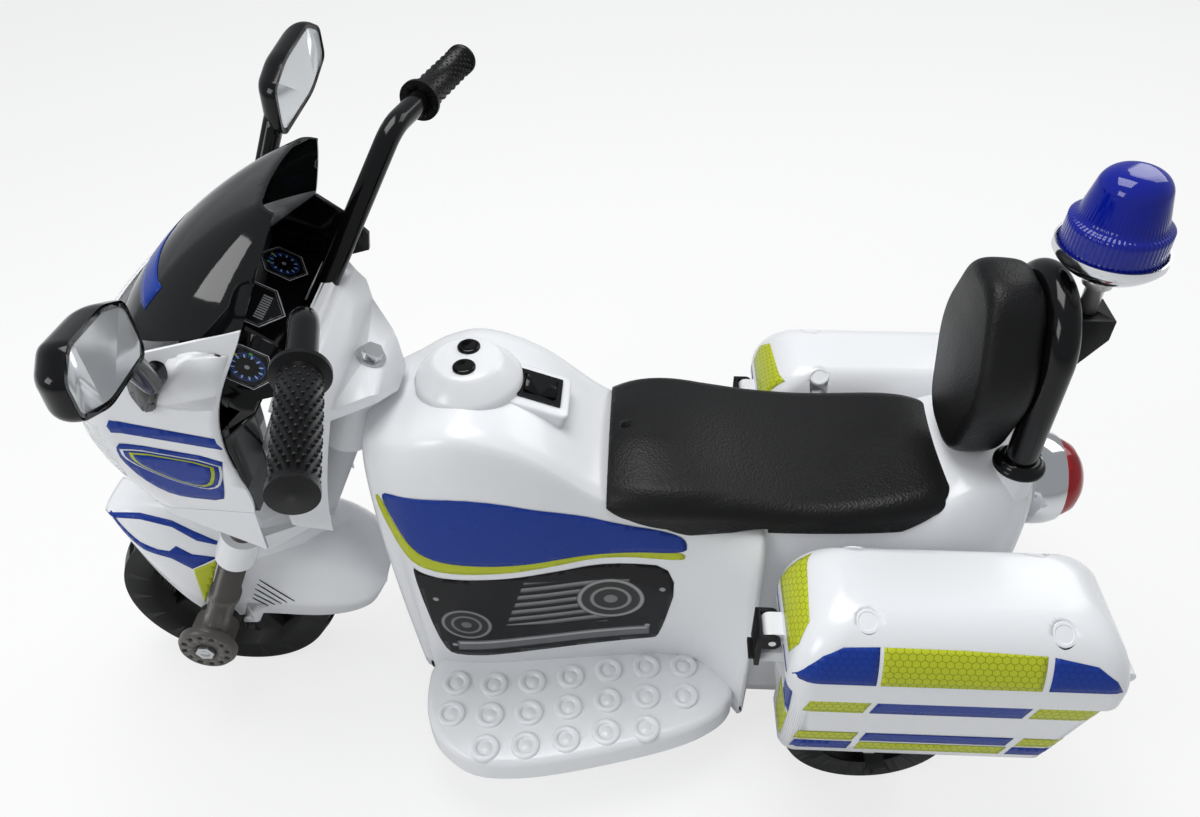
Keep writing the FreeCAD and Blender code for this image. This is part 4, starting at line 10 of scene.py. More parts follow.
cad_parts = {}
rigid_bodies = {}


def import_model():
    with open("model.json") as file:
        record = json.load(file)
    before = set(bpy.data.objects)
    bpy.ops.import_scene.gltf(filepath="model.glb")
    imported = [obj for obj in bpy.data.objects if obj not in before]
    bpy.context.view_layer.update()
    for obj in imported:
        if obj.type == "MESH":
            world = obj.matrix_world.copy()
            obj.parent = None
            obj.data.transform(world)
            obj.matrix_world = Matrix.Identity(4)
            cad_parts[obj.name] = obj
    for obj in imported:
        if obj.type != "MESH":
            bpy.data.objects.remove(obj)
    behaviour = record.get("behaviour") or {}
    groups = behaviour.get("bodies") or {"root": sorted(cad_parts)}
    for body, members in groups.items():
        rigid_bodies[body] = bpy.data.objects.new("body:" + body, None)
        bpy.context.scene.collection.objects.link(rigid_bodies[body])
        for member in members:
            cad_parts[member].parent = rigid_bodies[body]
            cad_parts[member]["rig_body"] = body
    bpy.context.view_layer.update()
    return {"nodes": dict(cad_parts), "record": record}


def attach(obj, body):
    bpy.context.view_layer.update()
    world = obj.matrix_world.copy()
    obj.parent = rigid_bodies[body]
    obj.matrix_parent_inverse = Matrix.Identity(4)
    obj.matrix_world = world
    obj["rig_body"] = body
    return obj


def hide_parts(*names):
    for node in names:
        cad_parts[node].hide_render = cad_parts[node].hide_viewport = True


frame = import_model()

solids = frame["nodes"]
finish_slots = {row["node"]: row["material_slot"] for row in frame["record"]["subparts"]}

# Studio: a pale floor that shows white to the camera, a bright even surround and three soft lamps.
# The camera stands at the left of the bike, about a metre up, and looks down on it as in the photograph.
stage = bpy.context.scene
stage.view_settings.view_transform = "Standard"

camera_data = bpy.data.cameras.new("camera")
camera_data.sensor_width = 36.0
camera_data.lens = 29.024
camera_tilt, camera_roll, camera_turn = 48.5606, 0.4051, 182.5406
camera = bpy.data.objects.new("camera", camera_data)
camera.location = (-0.06531, 0.62027, 0.90354)
camera.rotation_euler = [math.radians(angle) for angle in (camera_tilt, camera_roll, camera_turn)]
stage.collection.objects.link(camera)
stage.camera = camera


def add(tree, kind, sockets=None, **settings):
    """One node of a tree: settings are its properties, sockets are values or other nodes' outputs."""
    node = tree.nodes.new(kind)
    for key, value in settings.items():
        setattr(node, key, value)
    for key, value in (sockets or {}).items():
        if isinstance(value, bpy.types.NodeSocket):
            tree.links.new(value, node.inputs[key])
        else:
            node.inputs[key].default_value = value
    return node


def seen_directly(tree):
    """One where a ray comes from the camera or through a clear piece, and nought for other light."""
    path = add(tree, "ShaderNodeLightPath").outputs
    return add(tree, "ShaderNodeMath", {0: path["Is Camera Ray"], 1: path["Is Transmission Ray"]},
               operation="MAXIMUM").outputs[0]


def blank_material(name):
    """A material with an empty node tree."""
    material = bpy.data.materials.new(name)
    material.use_nodes = True
    material.node_tree.nodes.clear()
    return material, material.node_tree


world = bpy.data.worlds.new("surround")
stage.world = world
world.use_nodes = True
surround = world.node_tree
surround.nodes.clear()
surround_light = add(surround, "ShaderNodeBackground", {"Color": (0.94, 0.97, 1.0, 1.0), "Strength": 0.40})
surround_view = add(surround, "ShaderNodeBackground", {"Color": (1.0, 1.0, 1.0, 1.0), "Strength": 1.0})
surround_mix = add(surround, "ShaderNodeMixShader", {
    0: seen_directly(surround), 1: surround_light.outputs[0], 2: surround_view.outputs[0]})
add(surround, "ShaderNodeOutputWorld", {0: surround_mix.outputs[0]})

floor_reach = 60.0
floor_mesh = bpy.data.meshes.new("floor")
floor_mesh.from_pydata([(-floor_reach, -floor_reach, 0), (floor_reach, -floor_reach, 0),
                        (floor_reach, floor_reach, 0), (-floor_reach, floor_reach, 0)], [], [(0, 1, 2, 3)])
floor = bpy.data.objects.new("floor", floor_mesh)
stage.collection.objects.link(floor)
floor_paper, paper = blank_material("floor_paper")
paper_matt = add(paper, "ShaderNodeBsdfDiffuse", {"Color": (0.86, 0.86, 0.86, 1.0)})
paper_glow = add(paper, "ShaderNodeEmission", {"Color": (1.0, 1.0, 1.0, 1.0), "Strength": 1.0})
paper_share = add(paper, "ShaderNodeMath", {0: seen_directly(paper), 1: 0.74}, operation="MULTIPLY")
paper_mix = add(paper, "ShaderNodeMixShader", {0: paper_share.outputs[0], 1: paper_matt.outputs[0],
                                               2: paper_glow.outputs[0]})
add(paper, "ShaderNodeOutputMaterial", {0: paper_mix.outputs[0]})
floor_mesh.materials.append(floor_paper)

lamp_aim = Vector((0.0, 0.0, 0.25))
for lamp_name, lamp_at, lamp_size, lamp_power in (
        ("lamp_over", Vector((0.2, -0.2, 2.1)), 1.1, 24.0),
        ("lamp_front", Vector((1.7, 1.2, 1.5)), 0.9, 14.0),
        ("lamp_back", Vector((-1.6, -1.3, 1.8)), 1.2, 12.0)):
    lamp_data = bpy.data.lights.new(lamp_name, "AREA")
    lamp_data.size = lamp_size
    lamp_data.energy = lamp_power
    lamp = bpy.data.objects.new(lamp_name, lamp_data)
    lamp.location = lamp_at
    lamp.rotation_euler = (lamp_aim - lamp_at).to_track_quat("-Z", "Y").to_euler()
    stage.collection.objects.link(lamp)


# Base tray and drive: a black ribbed tray closes the body below and holds the battery, the control box,
# the motor and its gearbox. The mouldings have a fine spark-eroded grain; the motor can is plain steel.
def own_place(tree):
    """The place on a piece, in the bike's own frame."""
    return add(tree, "ShaderNodeTexCoord").outputs["Object"]


def clouds(tree, scale, detail):
    """Noise of a given scale over a piece."""
    return add(tree, "ShaderNodeTexNoise", {
        "Vector": own_place(tree), "Scale": scale, "Detail": detail}).outputs["Fac"]


def mapped(tree, value, low, high, to_low=0.0, to_high=1.0):
    """A number carried over from one range to another."""
    return add(tree, "ShaderNodeMapRange", {
        "Value": value, "From Min": low, "From Max": high, "To Min": to_low, "To Max": to_high}).outputs[0]


def vectors(tree, operation, *terms, **sockets):
    """One sum on vectors; a length, a distance or a product comes out as a number."""
    node = add(tree, "ShaderNodeVectorMath", {**dict(enumerate(terms)), **sockets}, operation=operation)
    return node.outputs["Value" if operation in ("LENGTH", "DISTANCE", "DOT_PRODUCT") else "Vector"]


def coated(material, tree, relief, strength, depth, sockets):
    """Ends a material's tree with one surface whose bump follows a relief."""
    bump = add(tree, "ShaderNodeBump", {"Height": relief, "Strength": strength, "Distance": depth})
    skin = add(tree, "ShaderNodeBsdfPrincipled", {"Normal": bump.outputs[0], **sockets})
    add(tree, "ShaderNodeOutputMaterial", {0: skin.outputs[0]})
    return material


def plastic(name, colour, rough, grain, grain_size, grain_depth, metal=0.0, shade=0.04, **sockets):
    """A moulded surface: the colour and roughness vary over hand-sized areas, the grain is a fine bump."""
    material, tree = blank_material(name)
    cloud = clouds(tree, 9.0, 4.0)
    tone = mapped(tree, cloud, 0.3, 0.7, 1.0 - shade, 1.0 + shade)
    tint = vectors(tree, "SCALE", colour, Scale=tone)
    gloss = mapped(tree, cloud, 0.3, 0.7, rough * 0.82, rough * 1.18)
    if grain == "cells":
        relief = add(tree, "ShaderNodeTexVoronoi", {
            "Vector": own_place(tree), "Scale": 1.0 / grain_size}).outputs["Distance"]
    else:
        relief = clouds(tree, 1.0 / grain_size, 2.0)
    return coated(material, tree, relief, 0.6, grain_depth, {
        "Base Color": tint, "Roughness": gloss, "Metallic": metal, **sockets})


def settle(piece, body, slot, *stands_for):
    """Links a finished piece, lets it move with its body and hides the parts it stands for."""
    if piece.name not in stage.collection.objects:
        stage.collection.objects.link(piece)
    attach(piece, body)
    if stands_for:
        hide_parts(*stands_for)
    return piece


skins = {}
join_reach = 0.00002


def smoothed(work, mesh, crease):
    """Writes a worked form back to its mesh, smooth between edges sharper than a crease in degrees."""
    for face in work.faces:
        face.smooth = True
    work.to_mesh(mesh)
    work.free()
    mesh.set_sharp_from_angle(angle=math.radians(crease))


def skinned(material, *nodes, crease=34.0):
    """Each node's own form with its triangles joined, shaded as one smooth moulding between its edges."""
    for node in nodes:
        mesh = solids[node].data.copy()
        work = bmesh.new()
        work.from_mesh(mesh)
        bmesh.ops.remove_doubles(work, verts=work.verts, dist=join_reach)
        bmesh.ops.dissolve_degenerate(work, dist=join_reach, edges=work.edges)
        smoothed(work, mesh, crease)
        mesh.materials.clear()
        mesh.materials.append(material)
        skins[node] = settle(bpy.data.objects.new(node + "_skin", mesh), solids[node]["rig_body"],
                             finish_slots[node], node)


grained_black = plastic("grained_black", (0.006, 0.006, 0.0065), 0.5, "cells", 0.0011, 0.00018, shade=0.12,
                        **{"Specular IOR Level": 0.2})
motor_can = plastic("motor_can", (0.42, 0.42, 0.43), 0.34, "peel", 0.0016, 0.00004, metal=1.0, shade=0.06)
battery_case = plastic("battery_case", (0.03, 0.034, 0.05), 0.44, "peel", 0.0014, 0.00006, shade=0.08)
skinned(grained_black, "under_tray", "gearbox_housing", "control_box", "drive_coupler")
skinned(motor_can, "drive_motor")
skinned(battery_case, "battery")

# Wheels and rear axle: black blow-moulded wheels with tread blocks, the rear pair on one zinc-plated axle
# with a nut at each end. The moulding is dull, with faint patches.
tread_black = plastic("tread_black", (0.007, 0.007, 0.0075), 0.42, "peel", 0.003, 0.0001, shade=0.2,
                      **{"Specular IOR Level": 0.22})
zinc = plastic("zinc", (0.55, 0.56, 0.57), 0.3, "peel", 0.0016, 0.00006, metal=1.0, shade=0.08)
skinned(zinc, "rear_axle", "rear_axle_nuts")
skinned(tread_black, "rear_wheel_left", "rear_wheel_right")

# Body shell: tank, waist, hips and tail are one blow-moulded white shell, open below.
# Its sides bow out from a narrow sill, roll over soft shoulders and meet in a crowned top.
gloss_white = plastic("gloss_white", (0.80, 0.81, 0.83), 0.2, "peel", 0.004, 0.00004, shade=0.015)
bolt_x = 0.1559
bolt_z = 0.40618
shell_wall = 0.003


def behind(distance):
    """World X of a place that lies that far behind the steering bolt."""
    return bolt_x - distance


def eased(knots, values, at):
    """Value at a place of a smooth curve through a row of values."""
    last = len(knots) - 1
    start = max(0, min(last - 1, sum(1 for knot in knots if knot <= at) - 1))
    span = knots[start + 1] - knots[start]
    share = (at - knots[start]) / span

    def slope(index):
        low, high = max(index - 1, 0), min(index + 1, last)
        return (values[high] - values[low]) / (knots[high] - knots[low]) * span

    square, cube = share ** 2, share ** 3
    return (values[start] * (2 * cube - 3 * square + 1) + values[start + 1] * (3 * square - 2 * cube)
            + slope(start) * (cube - 2 * square + share) + slope(start + 1) * (cube - square))


def bent(first, middle, last, count):
    """Points of the curve through three places, without its last one."""
    steps = [number / count for number in range(count)]
    first, middle, last = Vector(first), Vector(middle), Vector(last)
    return [first * (1 - t) * (1 - 2 * t) + middle * 4 * t * (1 - t) + last * t * (2 * t - 1) for t in steps]


def sheeted(name, rows, material, closed=False, capped=(False, False), crease=50.0, thick=0.0):
    """A skin of quads between rows of points; a wall thickness grows inwards."""
    count = len(rows[0])
    faces = []
    for row in range(len(rows) - 1):
        for column in range(count if closed else count - 1):
            here = row * count + column
            beside = row * count + (column + 1) % count
            faces.append((here, beside, beside + count, here + count))
    if capped[0]:
        faces.append(tuple(range(count))[::-1])
    if capped[1]:
        faces.append(tuple((len(rows) - 1) * count + column for column in range(count)))
    mesh = bpy.data.meshes.new(name)
    mesh.from_pydata([tuple(point) for row in rows for point in row], [], faces)
    work = bmesh.new()
    work.from_mesh(mesh)
    bmesh.ops.remove_doubles(work, verts=work.verts, dist=join_reach / 2)
    bmesh.ops.recalc_face_normals(work, faces=work.faces)
    smoothed(work, mesh, crease)
    mesh.materials.append(material)
    piece = bpy.data.objects.new(name, mesh)
    if thick:
        wall = piece.modifiers.new("wall", "SOLIDIFY")
        wall.thickness = thick
        wall.offset = -1.0
    return piece


shell_half = 0.090
shell_crown = 0.393
shell_sill = 0.062
front_shares = (0.0, 0.10, 0.17, 0.27, 0.42, 0.59, 0.77, 0.88, 1.0)
front_crowns = (0.938, 0.957, 0.986, 1.0, 0.952, 0.832, 0.766, 0.76, 0.758)
front_halves = (0.74, 0.92, 0.975, 1.0, 0.98, 0.90, 0.90, 0.98, 1.20)
front_shoulders = (0.64, 0.73, 0.77, 0.80, 0.80, 0.86, 0.88, 0.84, 0.74)
front_sills = (0.62, 0.81, 0.835, 0.84, 0.77, 0.69, 0.62, 0.72, 1.22)
front_levels = (-0.03, -0.01, 0.0, 0.0, 0.0, 0.0, 0.0, 0.0, -0.035)
front_start, front_end = -0.008, 0.332
front_rolls = (0.014, 0.006)
front_lean = 0.1
rear_shares = (-0.1, 0.25, 0.52, 0.72, 0.87, 1.0)
rear_crowns = (0.76, 0.762, 0.785, 0.855, 0.868, 0.85)
rear_halves = (0.93, 0.93, 0.93, 0.88, 0.78, 0.60)
rear_shoulders = (0.86, 0.86, 0.82, 0.76, 0.74, 0.72)
rear_sills = (0.90, 0.90, 0.88, 0.82, 0.72, 0.52)
rear_levels = (0.0, 0.0, 0.0, 0.08, 0.26, 0.42)
rear_end = 0.554
rear_rolls = (0.004, 0.016)
crown_drop, side_share, flank_bow = 0.022, 0.62, 0.03
corner_share, edge_inset_share = 0.707, 0.7
flank_steps, corner_steps, roof_steps = 12, 10, 5
section_count = 46
roll_angles = (90, 65, 40, 18)


def shell_row(x, crown, half, shoulder, sill, level, lean=0.0, inset=0.0):
    """One section of the shell, from the left sill over the crown to the right sill."""
    top = crown - inset
    side = half - inset
    edge = half * shoulder - inset * edge_inset_share
    foot = sill - inset
    edge_z = top - crown * crown_drop
    side_z = level + (crown - level) * side_share
    corner = (edge + (side - edge) * corner_share, side_z + (edge_z - side_z) * corner_share)
    middle = ((foot + side) / 2 + half * flank_bow, (level + side_z) / 2)
    flank = bent((foot, level), middle, (side, side_z), flank_steps)
    flank += bent((side, side_z), corner, (edge, edge_z), corner_steps)
    roof = [Vector((edge * share, top - (top - edge_z) * share ** 2))
            for share in (1 - number / roof_steps for number in range(2 * roof_steps + 1))]
    row = flank + roof + [Vector((-spot.x, spot.y)) for spot in flank[::-1]]
    return [Vector((x - (crown - spot.y) * lean, spot.x, spot.y)) for spot in row]


def shell_rows(shares, start, end, tables, leans, rolls):
    """Sections along a part of the shell, with rolled edges round its two end faces."""
    length = end - start

    def section(share, inset=0.0, shift=0.0):
        crown, half, shoulder, sill, level = (eased(shares, table, share) for table in tables)
        lean = leans * max(0.0, 1 - share / shares[1]) if leans else 0.0
        foot_z = shell_sill + (shell_crown - shell_sill) * level
        return shell_row(behind(start + length * share) + shift, crown * shell_crown, half * shell_half,
                         shoulder, sill * shell_half, foot_z, lean, inset)

    def rolled(share, radius, way, turn):
        return section(share, radius * (1 - math.cos(turn)), way * radius * math.sin(turn))

    low = shares[0] + rolls[0] / length
    high = shares[-1] - rolls[1] / length
    turns = [math.radians(angle) for angle in roll_angles]
    rows = [rolled(low, rolls[0], 1, turn) for turn in turns]
    rows += [section(low + (high - low) * number / section_count) for number in range(section_count + 1)]
    return rows + [rolled(high, rolls[1], -1, turn) for turn in turns[::-1]]


front_rows = shell_rows(front_shares, front_start, front_end,
                        (front_crowns, front_halves, front_shoulders, front_sills, front_levels),
                        front_lean, front_rolls)
rear_rows = shell_rows(rear_shares, front_end, rear_end,
                       (rear_crowns, rear_halves, rear_shoulders, rear_sills, rear_levels), 0.0, rear_rolls)
shell_front = settle(sheeted("shell_front", front_rows, gloss_white, capped=(True, True), thick=shell_wall),
                     "chassis", "white_plastic", "body_shell")
settle(sheeted("shell_rear", rear_rows, gloss_white, capped=(False, True), thick=shell_wall),
       "chassis", "white_plastic")

# Footboards: a flat board of the same white moulding stands out on each side below the tank, with a rolled
# edge and rows of raised rings for grip. The rings under the pedal on the right are left out.
sides = (("left", 1), ("right", -1))
board_shares = ((0.0, 0.26), (0.015, 0.78), (0.24, 1.02), (1.0, 0.70), (1.0, 0.26))
board_front, board_length, board_half = 0.024, 0.296, 0.192
board_top = 0.088
board_roll = 0.007
board_roll_angles = (25, 50, 70, 90)
corner_cut, corner_rounds = 0.22, 4
ring_profile = ((0.0136, -0.001), (0.0133, 0.0014), (0.0125, 0.0025), (0.0110, 0.0029), (0.0092, 0.0027),
                (0.0078, 0.0021), (0.0072, 0.0004), (0.0066, 0.0003), (0.0060, 0.0010), (0.0, 0.0012))
ring_rows = ((0, 7, 0), (1, 7, 0), (2, 5, 1))
ring_bend_shares = (0.0, 0.0, 0.12, 0.35, 0.62, 0.78, 0.84)
ring_pitch, ring_row_pitch = 0.0365, 0.033
ring_behind, ring_row_y = 0.054, 0.103
pedal_place = Vector((0.0079, -0.150))
pedal_room_x, pedal_room_y = (-0.019, 0.085), 0.0423


def cornered(outline, rounds):
    """An outline with its corners cut again and again until they are round."""
    for _ in range(rounds):
        cut = []
        for number, here in enumerate(outline):
            following = outline[(number + 1) % len(outline)]
            cut += [here * (1 - corner_cut) + following * corner_cut,
                    here * corner_cut + following * (1 - corner_cut)]
        outline = cut
    return outline


def drawn_in(outline, distance):
    """An outline moved inwards by a distance; it runs anticlockwise."""
    count = len(outline)
    moved = []
    for number, here in enumerate(outline):
        along = (outline[(number + 1) % count] - outline[number - 1]).normalized()
        moved.append(here + Vector((-along.y, along.x)) * distance)
    return moved


def turned(name, profile, material, count=40, closed=False, crease=40.0):
    """A form of revolution about Z from (radius, height) pairs."""
    turns = [2 * math.pi * number / count for number in range(count)]
    rows = [[Vector((radius * math.cos(turn), radius * math.sin(turn), height)) for turn in turns]
            for radius, height in profile]
    if closed:
        rows.append(rows[0])
    return sheeted(name, rows, material, closed=True, crease=crease)


def set_at(piece, place, axis=(0.0, 0.0, 1.0)):
    """Turns a piece's mesh from Z to an axis and moves it to its place."""
    turn = Vector(axis).to_track_quat("Z", "Y").to_matrix().to_4x4()
    piece.data.transform(Matrix.Translation(Vector(place)) @ turn)
    piece.data.update()
    return piece


def copies_group(name):
    """Node group that sets a copy of one object on every point, its Z along the point's facing."""
    group = bpy.data.node_groups.new(name, "GeometryNodeTree")
    face = group.interface
    face.new_socket("Points", in_out="INPUT", socket_type="NodeSocketGeometry")
    unit_socket = face.new_socket("Unit", in_out="INPUT", socket_type="NodeSocketObject")
    paint_socket = face.new_socket("Paint", in_out="INPUT", socket_type="NodeSocketMaterial")
    face.new_socket("Geometry", in_out="OUTPUT", socket_type="NodeSocketGeometry")
    given = add(group, "NodeGroupInput")
    unit = add(group, "GeometryNodeObjectInfo", {"Object": given.outputs["Unit"]})
    facing = add(group, "GeometryNodeInputNamedAttribute", {"Name": "facing"}, data_type="FLOAT_VECTOR")
    turn = add(group, "FunctionNodeAlignRotationToVector", {"Vector": facing.outputs["Attribute"]}, axis="Z")
    spread = add(group, "GeometryNodeInstanceOnPoints", {
        "Points": given.outputs["Points"], "Instance": unit.outputs["Geometry"], "Rotation": turn.outputs[0]})
    real = add(group, "GeometryNodeRealizeInstances", {0: spread.outputs[0]})
    painted = add(group, "GeometryNodeSetMaterial", {"Geometry": real.outputs[0],
                                                     "Material": given.outputs["Paint"]})
    add(group, "NodeGroupOutput", {0: painted.outputs[0]})
    return group, unit_socket.identifier, paint_socket.identifier


copies, copies_unit, copies_paint = copies_group("copies_on_points")


def as_seen(piece):
    """A new mesh of a piece's form after its modifiers."""
    bpy.context.view_layer.update()
    graph = bpy.context.evaluated_depsgraph_get()
    return bpy.data.meshes.new_from_object(piece.evaluated_get(graph))


def repeated(name, unit, places, facings, material):
    """One piece made of copies of a unit at places that face given ways."""
    points = bpy.data.meshes.new(name + "_points")
    points.from_pydata([tuple(place) for place in places], [], [])
    facing = points.attributes.new("facing", "FLOAT_VECTOR", "POINT")
    for number, way in enumerate(facings):
        facing.data[number].vector = way
    holder = bpy.data.objects.new(name + "_points", points)
    stage.collection.objects.link(holder)
    stage.collection.objects.link(unit)
    spread = holder.modifiers.new("copies", "NODES")
    spread.node_group = copies
    spread[copies_unit] = unit
    spread[copies_paint] = material
    holder.update_tag()
    mesh = as_seen(holder)
    bpy.data.objects.remove(holder)
    bpy.data.objects.remove(unit)
    mesh.name = name
    return bpy.data.objects.new(name, mesh)


ring_places = []
for word, side in sides:
    corners = [Vector((behind(board_front + board_length * along), board_half * across * side))
               for along, across in board_shares]
    rim = cornered(corners, corner_rounds)
    if sum(a.x * b.y - a.y * b.x for a, b in zip(rim, rim[1:] + rim[:1])) < 0:
        rim = rim[::-1]
    levels = [(0.0, shell_sill), (0.0, board_top - board_roll)]
    for angle in board_roll_angles:
        turn = math.radians(angle)
        levels.append((board_roll * (1 - math.cos(turn)), board_top - board_roll * (1 - math.sin(turn))))
    board_rows = [[Vector((spot.x, spot.y, level)) for spot in drawn_in(rim, inset)]
                  for inset, level in levels]
    board = sheeted("footboard_" + word, board_rows, gloss_white, closed=True, capped=(True, True))
    settle(board, "chassis", "white_plastic")
    for row, count, first in ring_rows:
        for step in range(first, first + count):
            y = side * (ring_row_y + ring_row_pitch * (row - ring_bend_shares[step]))
            x = behind(ring_behind + ring_pitch * step)
            beside_pedal = abs(y - pedal_place.y) < pedal_room_y
            if not (beside_pedal and pedal_room_x[0] < x - pedal_place.x < pedal_room_x[1]):
                ring_places.append((x, y, board_top))
ring_unit = turned("ring_unit", ring_profile, gloss_white, count=28, crease=80.0)
ring_facings = [(0.0, 0.0, 1.0)] * len(ring_places)
settle(repeated("board_rings", ring_unit, ring_places, ring_facings, gloss_white), "chassis", "white_plastic")

# Mouldings on the shell: the button dome and the switch plinth on the tank, the neck that the steering head
# turns on, sockets for the hoop, bosses for the panniers and the axle, and the ears that hold the pedal.
rake = math.radians(24.0)
steer_axis = Vector((-math.sin(rake), 0.0, math.cos(rake)))
bolt = Vector((bolt_x, 0.0, bolt_z))


def bored(piece, holes):
    """Cuts round holes, given as place, axis, radius and length, through a piece."""
    if piece.name not in stage.collection.objects:
        stage.collection.objects.link(piece)
    for place, axis, radius, length in holes:
        drill = turned("drill", ((0.0, 0.0), (radius, 0.0), (radius, length), (0.0, length)), None)
        set_at(drill, place, axis)
        stage.collection.objects.link(drill)
        cut = piece.modifiers.new("hole", "BOOLEAN")
        cut.object = drill
        cut.operation = "DIFFERENCE"
        cut.solver = "EXACT"
        mesh = as_seen(piece)
        piece.modifiers.clear()
        piece.data = mesh
        bpy.data.objects.remove(drill)
    return piece


dome_behind = 0.080
dome_profile = ((0.0, 0.380), (0.0455, 0.380), (0.0452, 0.388), (0.0425, 0.3925), (0.0312, 0.4048),
                (0.0288, 0.4070), (0.0262, 0.4080), (0.0, 0.4080))
button_half, button_foot = 0.0135, 0.372
button_hole, button_room = (0.0054, 0.05), (0.009, 0.026)
dome = turned("button_dome", dome_profile, gloss_white, count=72, crease=60.0)
set_at(dome, (behind(dome_behind), 0.0, 0.0))
button_places = [Vector((behind(dome_behind), side * button_half, button_foot)) for _, side in sides]
settle(bored(dome, [(place, (0, 0, 1), *button_hole) for place in button_places]), "chassis", "white_plastic")
bored(shell_front, [(place, (0, 0, 1), *button_room) for place in button_places])


def oblong(length, width, corner, level, count=6):
    """Ring of points round an oblong with round corners."""
    ring = []
    for turn, (along, across) in enumerate(((1, 1), (-1, 1), (-1, -1), (1, -1))):
        for step in range(count + 1):
            angle = math.radians(90 * (turn + step / count))
            ring.append(Vector((along * (length / 2 - corner) + corner * math.cos(angle),
                                across * (width / 2 - corner) + corner * math.sin(angle), level)))
    return ring


plinth_behind, plinth_level, plinth_slope = 0.139, 0.376, math.radians(20.0)
plinth_rings = ((0.056, 0.054, 0.007, -0.022), (0.056, 0.054, 0.007, -0.003),
                (0.0545, 0.0525, 0.0065, -0.0008), (0.051, 0.049, 0.006, 0.0),
                (0.0292, 0.0232, 0.0008, 0.0), (0.0292, 0.0232, 0.0008, -0.022))
plinth_rows = [oblong(*ring) for ring in plinth_rings]
plinth = sheeted("switch_plinth", plinth_rows + plinth_rows[:1], gloss_white, closed=True)
plinth.data.transform(Matrix.Translation((behind(plinth_behind), 0.0, plinth_level))
                      @ Matrix.Rotation(-plinth_slope, 4, "Y"))
settle(plinth, "chassis", "white_plastic")


def tube(name, outer, inner, length, place, axis, material):
    """A plain sleeve, or a rod where the inner radius is nought, from a place along an axis."""
    profile = [(inner, 0.0), (outer, 0.0), (outer, length), (inner, length)]
    return set_at(turned(name, profile, material, closed=inner > 0), place, axis)


hoop_behind, hoop_half, hoop_foot = 0.533, 0.045, 0.319
boss_behinds, boss_start, boss_level = (0.4085, 0.5315), 0.063, 0.216
ear_half, ear_level = 0.0233, 0.097
axle_behind, axle_level = 0.442, 0.082
neck_drop = 0.0923
sleeves = [("neck_sleeve", 0.025, 0.0056, 0.078, bolt - steer_axis * neck_drop, steer_axis)]
for word, side in sides:
    sleeves.append(("hoop_socket_" + word, 0.0155, 0.0127, 0.026,
                    (behind(hoop_behind), side * hoop_half, hoop_foot), (0, 0, 1)))
    for number, along in enumerate(boss_behinds):
        sleeves.append((f"pannier_boss_{word}_{number}", 0.009, 0.0, 0.0286,
                        (behind(along), side * boss_start, boss_level), (0, side, 0)))
    sleeves.append(("pedal_ear_" + word, 0.006, 0.0026, 0.006,
                    (pedal_place.x, pedal_place.y + side * ear_half, ear_level), (0, side, 0)))
sleeves.append(("axle_boss", 0.013, 0.0051, 0.033, (behind(axle_behind), boss_start, axle_level), (0, 1, 0)))
for sleeve_name, outer, inner, length, place, axis in sleeves:
    settle(tube(sleeve_name, outer, inner, length, place, axis, gloss_white), "chassis", "white_plastic")

# Side stickers: printed vinyl pressed on both flanks of the tank. A blue and a yellow sweep stand over a
# black panel with a generic print of cooling fins and round covers; the real ones' lettering is left off.
sticker_lift = 0.00025
sticker_film = 0.0001
press_reach = 0.2
royal_blue = (0.014, 0.045, 0.29)
lime_yellow = (0.50, 0.56, 0.032)
carrier_trees = {}


def surface_of(carriers):
    """Search tree over the faces of some pieces."""
    key = tuple(carrier.name for carrier in carriers)
    if key not in carrier_trees:
        spots = []
        faces = []
        for carrier in carriers:
            start = len(spots)
            spots += [vertex.co.copy() for vertex in carrier.data.vertices]
            faces += [[start + index for index in face.vertices] for face in carrier.data.polygons]
        carrier_trees[key] = BVHTree.FromPolygons(spots, faces)
    return carrier_trees[key]


def encloses(outline, spot):
    """True where a spot lies inside an outline."""
    within = False
    for here, following in zip(outline, outline[1:] + outline[:1]):
        if (here.y > spot.y) != (following.y > spot.y):
            if spot.x < here.x + (following.x - here.x) * (spot.y - here.y) / (following.y - here.y):
                within = not within
    return within


